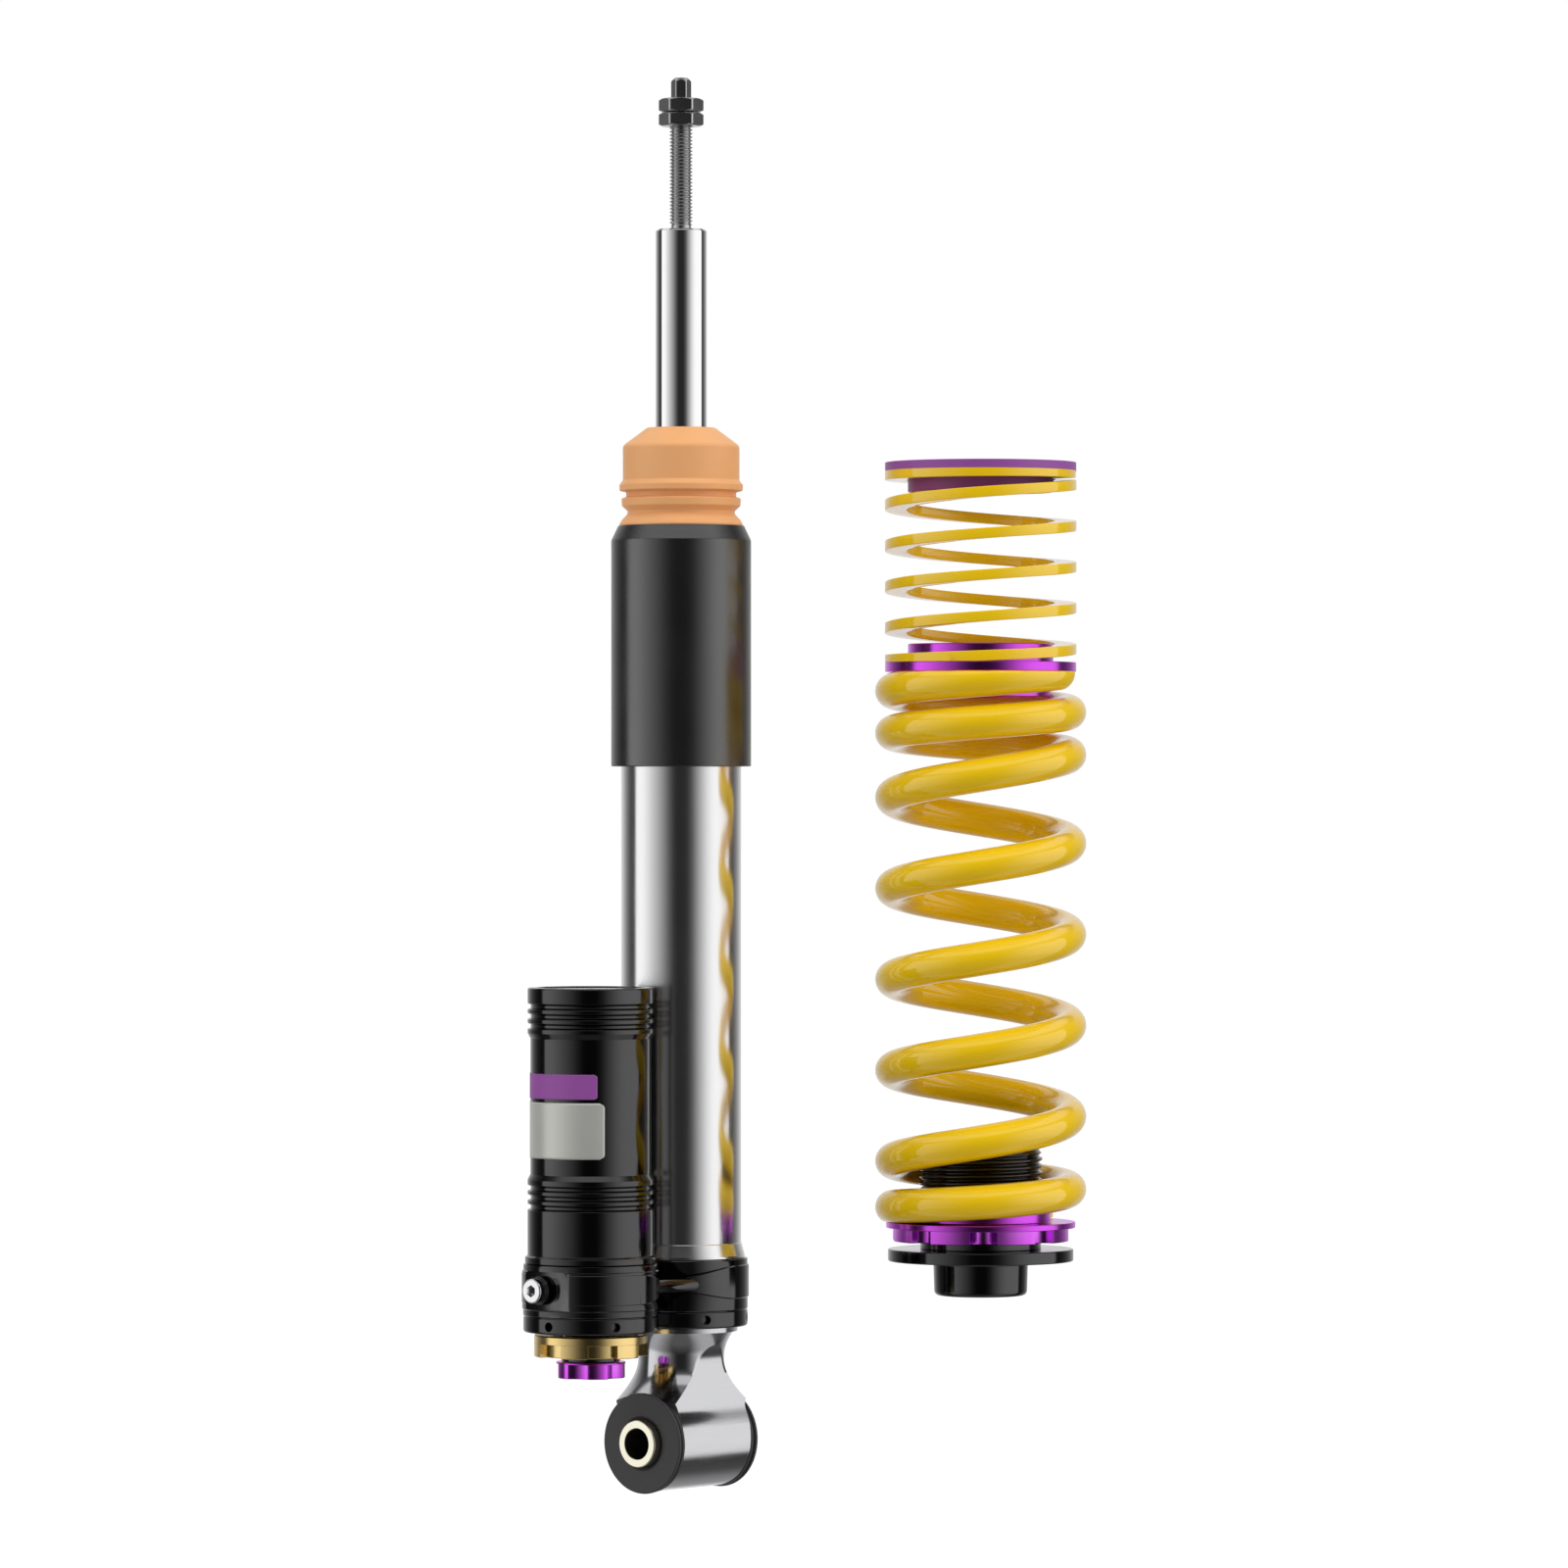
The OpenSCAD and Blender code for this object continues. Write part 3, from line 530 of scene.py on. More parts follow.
def helix_thread(r_major, depth, pitch, z0, z1, at=(0, 0), seg=64, section=None, fade=1.0):
    """An open skin of real helical thread between z0 and z1, right-handed."""
    section = section or [(0.0, 1.0), (0.12, 1.0), (0.44, 0.06), (0.5, 0.0), (0.56, 0.06), (0.88, 1.0)]
    per = len(section)
    rows = int((z1 - z0) / pitch + 2) * per
    verts = np.zeros((rows + 1, seg, 3))
    for j in range(rows + 1):
        frac, d = section[j % per]
        for i in range(seg):
            z = z0 + ((j // per - 1) + frac + i / seg) * pitch
            end = max(0.0, min(1.0, (z - z0) / fade, (z1 - z) / fade))
            r = r_major - depth * (1 - (1 - d) * end)
            a = TAU * i / seg
            verts[j, i] = (at[0] + r * math.cos(a), at[1] + r * math.sin(a), min(z1, max(z0, z)))
    faces = []
    for j in range(rows):
        for i in range(seg - 1):
            faces.append((j * seg + i, j * seg + i + 1, (j + 1) * seg + i + 1, (j + 1) * seg + i))
        if j + per + 1 <= rows:
            k = j + per
            faces.append((j * seg + seg - 1, k * seg, (k + 1) * seg, (j + 1) * seg + seg - 1))
    # rows that lie wholly at an end collapse there and are welded away
    return verts.reshape(-1, 3), faces


# ------------------------------------------------------------------ lower eye
sl = box("eye_sleeve")
bolt_r = frame["record"]["mounts"][0]["dims"]["r_mm"]
sleeve_v, sleeve_f = spin(fillet([(bolt_r, -sl.ry, 0.5), (sl.r, -sl.ry, 0.6), (sl.r, sl.ry, 0.6),
                                  (bolt_r, sl.ry, 0.5)], 0.5), (sl.x, sl.y, 0), axis="y")
# faces inside the bore take the near-black painted shade colour
bore_shade_faces = [int(np.mean([math.hypot(sleeve_v[i][0] - sl.x, sleeve_v[i][2]) for i in f]) < bolt_r + 0.12)
           for f in sleeve_f]
piece("eye_sleeve_v", sleeve_v, sleeve_f, None, "eye_sleeve", mats=[M.zinc, M.bore],
      mat_ids=bore_shade_faces, weld=1e-6)

rb = box("bush_rubber")
EYE_HALF = 21.9
EYE_R = 20.8
bush = []
for s in (-1, 1):
    side = [(sl.r + 0.05, s * (rb.ry - 1.4)), (sl.r + 1.6, s * rb.ry), (rb.r, s * rb.ry, 0.8),
            (rb.r, s * (rb.ry - 1.5), 0.4), (rb.r - 1.3, s * (rb.ry - 1.7), 0.2),
            (rb.r - 1.3, s * (rb.ry - 2.4), 0.2), (rb.r - 0.3, s * (rb.ry - 2.6), 0.4),
            (rb.r - 0.3, s * EYE_HALF, 0.3), (17.6, s * EYE_HALF, 0)]
    bush += side if s < 0 else side[::-1]
turned("bush_rubber_v", "bush_rubber", bush, 0.5, at=(0, 0, 0), axis="y")


def lug_piece():
    """The eye, its waisted neck and the rim above it, as one polar grid per height.

    Each level is a disc cut by two pairs of flats, and the grid has a line on each corner, so
    the sharp meeting of the turned neck and the flat sides is a true edge."""
    lg = box("eye_lug")
    rim_r, rim_z0, rim_z1 = 24.2, 47.0, 49.2
    waist_r, waist_z = 18.4, 35.5

    def disc(z):
        if z > rim_z0:
            return rim_r
        return min(60.0, waist_r + (z - waist_z) ** 2 / 32)

    def half_x(z):
        circle = math.sqrt(max(0.0, EYE_R ** 2 - z ** 2)) if z < EYE_R else 0.0
        neck = 16.2 + max(0.0, z - 33) ** 2 / 22 + 0.5 * (max(0.0, 27 - z) / 9) ** 2
        if z > 0:
            k = 3.0   # soft meeting of the eye's round and the neck's side
            h = max(0.0, k - abs(circle - neck)) / k * min(1.0, z / 7)
            return max(circle, neck) + h * h * k / 4
        return circle

    zs = [EYE_R * math.sin(a) for a in np.linspace(-PI / 2, -0.02, 40)]
    zs += list(np.linspace(0, rim_z0, 110)) + [rim_z0 + 0.01, rim_z1 - 0.3, rim_z1]
    n1, n2, n3 = 8, 22, 14
    rows = []
    for z in zs:
        up = min(1.0, max(0.0, (z - 14) / 8))
        r, w, e = disc(z), max(half_x(z), 0.02), EYE_HALF + 3.4 * up * up * (3 - 2 * up)
        if z > rim_z0:
            w, e = 60.0, 60.0
        if z >= rim_z1 - 1e-6:
            r -= 0.3
        ta = math.acos(min(1.0, w / r))
        tb = math.asin(min(1.0, e / r))
        if ta > tb:
            ta = tb = math.atan2(e, w)
        quad = [ta * i / n1 for i in range(n1)]
        quad += [ta + (tb - ta) * i / n2 for i in range(n2)]
        quad += [tb + (PI / 2 - tb) * i / n3 for i in range(n3 + 1)]
        full = quad + [PI - a for a in quad[-2::-1]]
        full += [PI + a for a in quad[1:]] + [TAU - a for a in quad[-2:0:-1]]
        row = []
        for a in full:
            c, s = abs(math.cos(a)), abs(math.sin(a))
            rho = min(r, w / max(c, 1e-9), e / max(s, 1e-9))
            row.append((rho * math.cos(a), rho * math.sin(a), z))
        rows.append(row)
    m = len(rows[0])
    verts = [p for row in rows for p in row]
    faces = skin(len(rows), m)
    ids = []
    for quad in faces:
        mid = np.mean([verts[q] for q in quad], axis=0)
        flat = abs(abs(mid[0]) - half_x(mid[2])) < 0.05 and abs(mid[1]) < EYE_HALF + 3
        ids.append(1 if flat and mid[2] < rim_z0 else 0)
    faces += caps(len(rows), m)
    ids += [0, 0]
    o = piece("lug", verts, faces, None, "eye_lug", sharp=28, mats=[M.lug, M.lug_side], mat_ids=ids)
    eye_bore, spigot_r, foot = 17.62, 18.4, 49
    cut(o, [rod_shape((0, -40, 0), (0, 1, 0), eye_bore, 80, 128)])
    spigot = fillet([(0, foot), (spigot_r, foot), (spigot_r, lg.z1), (0, lg.z1)], 0.6)
    piece("lug_spigot", *spin(spigot), M.lug, "eye_lug")


lug_piece()

# ------------------------------------------------------------------ base block and lock rings
rs = box("reservoir_body")
RES = (rs.x, rs.y)
blk = box("base_block")
tl, rl = box("tube_lock_ring"), box("reservoir_lock_ring")
FACING = math.radians(-50)          # direction of the photograph's camera, seen from above


def pin_cutters(at, r, z, first):
    """Blind holes for a pin wrench, evenly round a ring's side."""
    count, hole_r, depth = 6, 2.05, 3
    out = []
    for i in range(count):
        a = first + TAU * i / count
        p = (at[0] + (r - depth) * math.cos(a), at[1] + (r - depth) * math.sin(a), z)
        out.append(rod_shape(p, (math.cos(a), math.sin(a), 0), hole_r, 2 * depth))
    return out


def lock_ring(name, node, b, at, inner, z_hole):
    """A ring with a rounded lower rim, a small step at the top and six wrench holes."""
    ring = turned(name, node, [(inner, b.z0), (b.r, b.z0, 1.1), (b.r, b.z1 - 0.4, 0.3),
                               (b.r - 0.9, b.z1 - 0.4, 0.05), (b.r - 0.9, b.z1), (inner, b.z1)],
                  0.3, at=at)
    cut(ring, pin_cutters(at, b.r, z_hole, FACING + math.radians(23)))


TUBE_SIDE_BORE, RES_SIDE_BORE = 18.5, 16
lock_ring("tube_ring", "tube_lock_ring", tl, (0, 0), TUBE_SIDE_BORE, 53.0)
lock_ring("res_ring", "reservoir_lock_ring", rl, RES, RES_SIDE_BORE, 52.8)


def scooped_ring(inner, r_band, below, above, near, far, at, web_heading):
    """A ring with a proud level band that is narrow near the web and widens away from it. The
    (r, z) points below and above run from the rims to where the hollows beside the band start."""
    (r_low, start), (r_high, end) = below[-1], above[0]
    cols, steps, hollow = 240, 6, 1.5
    widen_from, widen_over = 35, 60      # degrees round from the web
    verts = []
    for i in range(cols):
        az = TAU * i / cols
        a = abs((math.degrees(az - web_heading) + 180) % 360 - 180)
        u = min(1.0, max(0.0, (a - widen_from) / widen_over))
        u = u * u * (3 - 2 * u)
        lo, hi = (n + (f - n) * u for n, f in zip(near, far))
        deep = hollow * (1 - u)
        line = [(inner, below[0][1])] + below
        line += [(r_low - deep * k / steps, start + (lo - 0.35 - start) * k / steps)
                 for k in range(1, steps + 1)]
        line += [(r_band - 0.15, lo), (r_band, lo + 0.15), (r_band, hi - 0.15), (r_band - 0.15, hi)]
        line += [(r_high - deep * k / steps, end + (hi + 0.35 - end) * k / steps)
                 for k in range(steps, 0, -1)]
        line += above + [(inner, above[-1][1])]
        verts += [(at[0] + r * math.cos(az), at[1] + r * math.sin(az), z) for r, z in line]
    return verts, skin(cols, len(line), over=True)


def base_block():
    z0, z1 = blk.z0, blk.z1
    r_tube, r_res = 29.1, 29.3
    piece("base_block_v", *scooped_ring(
        TUBE_SIDE_BORE, r_tube, [(r_tube - 0.8, z0), (r_tube - 0.5, z0 + 0.35)],
        [(r_tube - 0.6, z1 - 0.5), (r_tube - 0.75, z1 - 0.12), (r_tube - 1.1, z1)],
        (65.5, 71.0), (z0 + 5.3, z1 - 3.0), (0, 0), -PI / 2), M.black, "base_block", sharp=32)
    q = piece("base_block_res", *scooped_ring(
        RES_SIDE_BORE, r_res, [(r_res - 0.9, z0), (r_res - 0.6, z0 + 0.35),
                               (r_res - 0.6, 59.2), (r_res - 0.2, 59.6)],
        [(r_res - 0.2, 75.4), (r_res - 0.7, 75.8), (r_res - 0.7, z1 - 0.5),
         (r_res - 0.85, z1 - 0.12), (r_res - 1.2, z1)],
        (65.2, 71.0), (62.1, 74.5), RES, PI / 2), M.black, "base_block", sharp=32)
    # flat that the filling screw stands on, running out in a shallow ramp
    plan = [(-14, -25.8), (4.8, -25.8), (11.6, -26.95), (13.5, -27.6), (13.5, -34), (-14, -34)]
    v = [(RES[0] + x, RES[1] + y, z) for z in (59.6, 75.9) for x, y in plan]
    cut(q, [(v, skin(2, len(plan)) + caps(2, len(plan)))])
    bev = q.modifiers.new("soft", "BEVEL")
    bev.width = 0.0004
    bev.segments = 3
    bev.limit_method = "ANGLE"
    bev.angle_limit = math.radians(45)
    # web between the two rings, waisted, with rounded upper and lower edges
    half, waist, rounding = 25.5, 3.0, 2.6
    side = []
    for k in range(25):
        s = k / 24
        y = -4 + s * (RES[1] + 8)
        pinch = waist * math.sin(PI * s) ** 2
        side.append((half - pinch, y))
    outline = (side + [(-x, y) for x, y in side[::-1]])[::-1]
    web_z0, web_z1 = 64.9, 71.3
    loops = []
    for s in range(9):
        a = PI * s / 8
        inset = rounding * (1 - math.sin(a))
        loops.append((inset, (web_z0 + web_z1) / 2 - (web_z1 - web_z0) / 2 * math.cos(a)))
    verts = [(x - math.copysign(inset, x), y, z) for inset, z in loops for x, y in outline]
    k = len(outline)
    piece("base_block_web", verts, skin(len(loops), k) + caps(len(loops), k), M.black,
          "base_block", sharp=60)


base_block()

# ------------------------------------------------------------------ damper tube, head and rod
tb = box("damper_tube")
tube_r, tube_bore, bead = 25.7, 23.4, tb.r
turned("damper_tube_v", "damper_tube",
       [(tube_bore, tb.z0), (tube_r, tb.z0), (tube_r, blk.z1), (bead, blk.z1 + 0.05, 0.3),
        (bead, blk.z1 + 1.1, 0.8), (bead - 0.9, blk.z1 + 4.4, 2.5),
        (tube_r + 0.25, blk.z1 + 6.2, 0.3), (tube_r, blk.z1 + 6.5, 0.2), (tube_r, tb.z1),
        (tube_bore, tb.z1)], 0.2, n=5)
hc = box("head_cap")
turned("head_cap_v", "head_cap",
       [(11.8, hc.z0), (tube_bore, hc.z0), (tube_bore, tb.z1), (hc.r, tb.z1), (hc.r, hc.z1 - 1.6, 0.4),
        (hc.r - 1.4, hc.z1 - 0.3, 0.4), (hc.r - 4, hc.z1), (hc.r - 5, hc.z1 - 0.8),
        (hc.r - 9, hc.z1 - 0.8), (hc.r - 10, hc.z1), (11.8, hc.z1)], 0.2)
rd = box("piston_rod")
turned("piston_rod_v", "piston_rod",
       [(2.1, rd.z0), (6, rd.z0), (6, 346), (rd.r, 346), (rd.r, rd.z1 - 0.9, 0.3),
        (rd.r - 0.9, rd.z1, 0.3), (2.1, rd.z1)], 0.3)

st = box("top_stud")


def stud_piece():
    z0, z1, hex_z0 = st.z0, st.z1, 575.0
    neck = fillet([(2.1, z0 - 0.5), (4.3, z0 - 0.5), (4.3, z0 + 2.2, 0.4), (4.0, z0 + 2.6),
                   (2.1, z0 + 2.6)], 0.2)
    profile = [(0.0, 1.0), (0.06, 1.0), (0.42, 0.04), (0.5, 0.0), (0.58, 0.04), (0.94, 1.0)]
    thread = helix_thread(4.985, 0.95, 1.5, z0 + 1.6, hex_z0 + 0.4, seg=60, section=profile, fade=1.2)
    core = fillet([(2.1, z0 + 2), (4.0, z0 + 2), (4.0, hex_z0 + 0.4),
                   (2.1, hex_z0 + 0.4)], 0.1)
    star = hex_star(7.7, 0.75)
    top_r, needle_r = 4.4, 2.05
    levels = [hex_z0, *np.linspace(hex_z0 + 0.3, z1 - 2.4, 3), *np.linspace(z1 - 2.2, z1, 12)]
    verts = []
    n = len(star)
    for z in levels:
        t = max(0.0, (z - (z1 - 2.2)) / 2.2)
        cone = top_r - 1.7 * t * t
        for a, r in star:
            rr = min(r, cone)
            verts.append((rr * math.cos(a + FACING), rr * math.sin(a + FACING), z))
    faces = skin(len(levels), n)
    base = len(verts)
    for z in (z1, z1 - 3):
        for a, _ in star:
            verts.append((needle_r * math.cos(a + FACING), needle_r * math.sin(a + FACING), z))
    last = (len(levels) - 1) * n
    for i in range(n):
        k = (i + 1) % n
        faces.append((last + i, last + k, base + k, base + i))
        faces.append((base + i, base + k, base + n + k, base + n + i))
    piece("stud_thread", *thread, M.stud, "top_stud", sharp=50)
    piece("stud_core", *joined(spin(neck, seg=64), spin(core, seg=64)), M.stud, "top_stud")
    piece("stud_hex", verts, faces, M.stud, "top_stud", sharp=30)


stud_piece()


def nut_piece(name, node):
    b = box(node)
    af = 17.0
    star = hex_star(af, 1.3)
    corner = af / 2 / math.cos(PI / 6)
    hole = 5.02
    zs = [*np.linspace(b.z0, b.z0 + 1.1, 12), *np.linspace(b.z1 - 1.1, b.z1, 12)]
    verts = []
    n = len(star)

    def ring(r_of, z):
        for a, r in star:
            rr = r_of(r)
            verts.append((rr * math.cos(a + FACING), rr * math.sin(a + FACING), z))

    ring(lambda r: hole, b.z0 + 0.6)
    ring(lambda r: hole + 0.6, b.z0)
    for z in zs:
        d = min(z - b.z0, b.z1 - z)
        cone = af / 2 - 0.25 + min(1.0, d / 0.95) * (corner - af / 2 + 0.30)
        edge = 0.12 * max(0.0, 1 - d / 0.12)
        ring(lambda r: min(r, cone) - edge, z)
    ring(lambda r: hole + 0.6, b.z1)
    ring(lambda r: hole, b.z1 - 0.6)
    piece(name, verts, skin(len(verts) // n, n, over=True), M.stud, node, sharp=24)


nut_piece("lower_nut_v", "lower_nut")
nut_piece("upper_nut_v", "upper_nut")

# ------------------------------------------------------------------ bump stop and dust cover
bs, dc = box("bump_stop"), box("dust_cover")
turned("bump_stop_v", "bump_stop",
       [(11.4, bs.z0), (26.3, bs.z0), (26.3, 389.6), (26.45, 392.6, 0.8), (25.4, 394.4, 1.5),
        (23.0, 397.0, 1.2), (23.0, 398.2, 1.0), (25.4, 400.3, 0.7), (25.6, 403.6, 0.7),
        (23.6, 404.2, 0.3), (23.6, 406.2, 0.3), (26.4, 406.9, 0.5), (26.5, 409.4, 1.0),
        (25.0, 411.4, 0.8), (25.0, 426.2, 2.6), (14.6, bs.z1, 1.2), (11.4, bs.z1, 0.5)], 0.3, n=6)
turned("dust_cover_v", "dust_cover",
       [(26.4, dc.z1 - 2.4), (26.4, dc.z1, 0.3), (27.0, dc.z1, 0.5), (dc.r, dc.z1 - 6.4, 2.0),
        (dc.r, dc.z0, 0.5), (dc.r - 1.6, dc.z0, 0.3), (dc.r - 1.6, dc.z1 - 7.2, 1.0)], 0.3, n=6)

# ------------------------------------------------------------------ reservoir
RES_BODY_R = 25.6


def reservoir():
    band, body, bore = rs.r - 1.1, RES_BODY_R, 22.5
    foot = blk.z1
    pts = [(bore, rs.z1 - 0.6), (bore + 0.6, rs.z1, 0.3), (band, rs.z1, 0.9)]

    def grooves(z, n, p):
        out = []
        for i in range(n):
            c = z - i * p
            out += [(band, c + 1.3, 0.35), (band - 1.35, c + 0.55, 0.3),
                    (band - 1.35, c - 0.55, 0.3), (band, c - 1.3, 0.35)]
        return out

    pts += grooves(187.2, 3, 4.15) + [(band, 175.9, 0.5), (body, 173.6, 0.6), (body, 116.3, 0.6),
                                      (band, 113.9, 0.5)]
    pts += grooves(110.5, 3, 4.0) + [(band, 82.0, 0.4), (rs.r, 81.2, 0.4), (rs.r, foot + 0.4, 0.3),
                                     (rs.r - 0.6, foot), (24.6, foot), (24.6, 72), (bore, 72)]
    turned("reservoir_v", "reservoir_body", pts, 0.3, at=RES, n=3)


reservoir()
ec = box("reservoir_end_cap")
turned("end_cap_v", "reservoir_end_cap",
       [(0, ec.z0), (22.5, ec.z0), (22.5, ec.z1 - 1.4, 0.3), (19.6, ec.z1 - 1.4, 0.2),
        (19.2, ec.z1, 0.4), (7, ec.z1, 0.3), (6.2, ec.z1 - 1.4, 0.3), (4.1, ec.z1 - 1.4),
        (4.1, 186), (0, 186)], 0.3, at=RES)

vb = box("valve_body")
turned("valve_body_v", "valve_body",
       [(3.05, vb.z0 - 0.5), (12.4, vb.z0 - 0.5, 0.3), (12.4, vb.z0 + 1.4, 0.3), (8, vb.z0 + 1.4),
        (8, 49), (16, 49), (16, 78), (12, 78), (12, vb.z1), (3.05, vb.z1)], 0.2, at=RES)
fs = box("fill_screw")


def fill_screw():
    tip = -(fs.y - fs.ry) + RES[1]          # distance of the head's face from the reservoir axis
    z = (fs.z0 + fs.z1) / 2
    prof = fillet([(0, 20), (3, 20), (3, tip - 3.2), (fs.r, tip - 3.2, 0.3), (fs.r, tip, 0.8),
                   (0, tip)], 0.2)
    o = piece("fill_screw_v", *spin(prof, (fs.x, RES[1], z), 96, axis="y"), M.screw, "fill_screw")
    star = hex_star(4.5, 0.05, 3, 1)
    v = [(fs.x + r * math.cos(a), RES[1] - y, z + r * math.sin(a))
         for y in (tip - 3, tip + 2) for a, r in star]
    cut(o, [(v, skin(2, len(star)) + caps(2, len(star)))])
    prof = fillet([(3, 25.9), (6.3, 25.9, 0.4), (6.3, 27.9, 0.5), (5.6, 28.2, 0.2),
                   (5.6, tip - 3.2, 0.3), (3, tip - 3.2)], 0.2)
    piece("fill_seal_v", *spin(prof, (fs.x, RES[1], z), 96, axis="y"), M.black, "fill_screw_seal")


fill_screw()

# ------------------------------------------------------------------ adjuster knobs
def arc(r, a0, a1, n):
    """Points along a round stretch, by radius and heading."""
    return [(r * math.cos(a0 + (a1 - a0) * i / n), r * math.sin(a0 + (a1 - a0) * i / n))
            for i in range(n + 1)]


def knobs():
    b = box("high_speed_knob")
    first = FACING + math.radians(13.8)
    half = math.radians(15)
    outline = []
    for k in range(6):
        c = first + k * PI / 3
        e = math.radians(0.7)
        outline += arc(b.r, c + half + e, c + PI / 3 - half - e, 14)
        nxt = c + PI / 3
        outline += arc(20.4, nxt - half, nxt + half, 12)
    lower = prism(outline, 8.05, b.z0, b.z0 + 5.7, 0.45, RES)
    flange = spin(fillet([(8.05, b.z0 + 5.7), (b.r, b.z0 + 5.7, 0.15), (b.r, b.z1, 0.7),
                          (18, b.z1, 0.3), (17, b.z1 - 1.6, 0.3), (12, b.z1 - 1.6, 0.3),
                          (11.4, b.z1, 0.3), (8.05, b.z1)], 0.2), RES)
    piece("large_knob_rim", *lower, M.gold, "high_speed_knob", sharp=30)
    piece("large_knob_flange", *flange, M.gold, "high_speed_knob")
    s = box("low_speed_knob")
    n = 5
    outline = []
    first = FACING - math.radians(21)
    cr, cd = 8.7, s.r + 6
    reach = math.acos((s.r ** 2 + cd ** 2 - cr ** 2) / (2 * s.r * cd))
    inner = math.acos((cd ** 2 + cr ** 2 - s.r ** 2) / (2 * cd * cr))
    for k in range(n):
        c = first + k * TAU / n
        outline += arc(s.r - 0.25, c + reach * 1.15, c + TAU / n - reach * 1.15, 6)
        d = c + TAU / n
        for j in range(17):
            a = inner * 0.92 * (1 - 2 * j / 16)
            x, y = cd - cr * math.cos(a), -cr * math.sin(a)
            outline.append((x * math.cos(d) - y * math.sin(d), x * math.sin(d) + y * math.cos(d)))
    lower = prism(outline, 3.0, s.z0, s.z1 - 0.8, 0.4, RES)
    disc = spin(fillet([(3, s.z1 - 0.8), (s.r, s.z1 - 0.8, 0.15), (s.r, s.z1, 0.35), (3, s.z1)],
                       0.1), RES)
    piece("small_knob_lobes", *lower, M.purple, "low_speed_knob", sharp=30)
    piece("small_knob_disc", *disc, M.purple, "low_speed_knob")
    # screw head that holds the small knob
    sp = box("low_speed_spindle")
    head = fillet([(0, sp.z0 - 0.4), (2.6, sp.z0 - 0.4, 0.5), (2.9, sp.z0 + 0.8), (3, sp.z0 + 1),
                   (3, sp.z1 - 6), (0, sp.z1)], 0.1)
    piece("spindle_v", *spin(head, RES, 64), M.steel, "low_speed_spindle")


knobs()

# ------------------------------------------------------------------ spring unit
ts = box("threaded_sleeve")
UNIT = (ts.x, ts.y)


def threaded_sleeve():
    z0, zp = ts.z0, 76.8
    top = ts.z1
    body = fillet([(15, z0 + 0.5), (15.6, z0, 0.3), (19.9, z0, 2.6), (20.3, 75.4, 0.4),
                   (20.9, 75.8, 0.2), (20.9, zp, 0.3), (ts.r, zp, 0.6), (ts.r, zp + 5.25, 0.6),
                   (25.9, zp + 5.25, 0.4), (25.9, 85.2, 0.3), (25.2, 86, 0.3), (25.0, 86.6),
                   (25.0, top - 0.5), (24.6, top, 0.4), (22, top, 0.4), (22, 84), (15, 80)], 0.3)
    section = [(0.0, 1.0), (0.08, 0.94), (0.2, 0.6), (0.3, 0.22), (0.4, 0.05), (0.5, 0.0),
               (0.6, 0.05), (0.7, 0.22), (0.8, 0.6), (0.92, 0.94)]
    thread = helix_thread(26.6, 1.55, 3.0, 85.8, top - 0.4, UNIT, seg=128, section=section, fade=2.0)
    piece("sleeve_body", *spin(body, UNIT), M.black, "threaded_sleeve")
    piece("sleeve_thread", *thread, M.black, "threaded_sleeve", sharp=60)


threaded_sleeve()


SEAT = 93.7                         # the perch's face that the main spring stands on
PERCH_BORE, COLLAR_R = 26.65, 30.1


def perch():
    b = box("adjuster_perch")
    rim_r, cr, cd, flange = 37.9, 5.4, 37.0, SEAT - 2.6
    mouth = math.asin(6.0 / rim_r)
    outline = []
    first = FACING + math.radians(0.4)
    for k in range(8):
        c = first + k * PI / 4
        outline += arc(rim_r, c + mouth, c + PI / 4 - mouth, 12)
        d = c + PI / 4
        for j in range(17):
            a = math.radians(80) * (1 - 2 * j / 16)
            x, y = cd - cr * math.cos(a), -cr * math.sin(a)
            outline.append((x * math.cos(d) - y * math.sin(d), x * math.sin(d) + y * math.cos(d)))
    lower = prism(outline, PERCH_BORE, b.z0 + 0.7, flange, 0.35, UNIT)
    upper = spin(fillet([(PERCH_BORE, flange), (b.r, flange, 0.35), (b.r, SEAT, 0.4),
                         (COLLAR_R, SEAT, 0.4), (COLLAR_R, b.z1, 0.7), (27.6, b.z1, 0.3),
                         (PERCH_BORE, b.z1 - 0.8)], 0.3), UNIT)
    piece("perch_rim", *lower, M.purple, "adjuster_perch", sharp=30)
    piece("perch_flange", *upper, M.purple, "adjuster_perch")


perch()
sp = box("separator_ring")
turned("separator_v", "separator_ring",
       [(27, sp.z0), (30.1, sp.z0, 0.6), (30.1, 329.2, 0.2), (sp.r, 329.2, 0.4), (sp.r, 333.4, 0.4),
        (31.2, 333.4, 0.2), (31.2, sp.z1, 0.6), (27, sp.z1)], 0.4, at=UNIT)
cs = box("top_spring_seat")
turned("top_seat_v", "top_spring_seat",
       [(24, cs.z0), (31.2, cs.z0, 0.6), (31.2, cs.z1 - 4.4, 0.2), (cs.r, cs.z1 - 4.4, 0.4),
        (cs.r, cs.z1, 0.4), (24, cs.z1, 0.5)], 0.4, at=UNIT)


def ramp_area(h, a, b):
    """Area under a smooth step from a to b, up to h."""
    if h <= a:
        return 0.0
    if h >= b:
        return h - (a + b) / 2
    u = (h - a) / (b - a)
    return (b - a) * (u ** 3 - u ** 4 / 2)


def sweep(rings):
    """A closed tube through equal rings, with capped ends."""
    rows, cols = len(rings), len(rings[0])
    return [p for r in rings for p in r], skin(rows, cols) + caps(rows, cols)


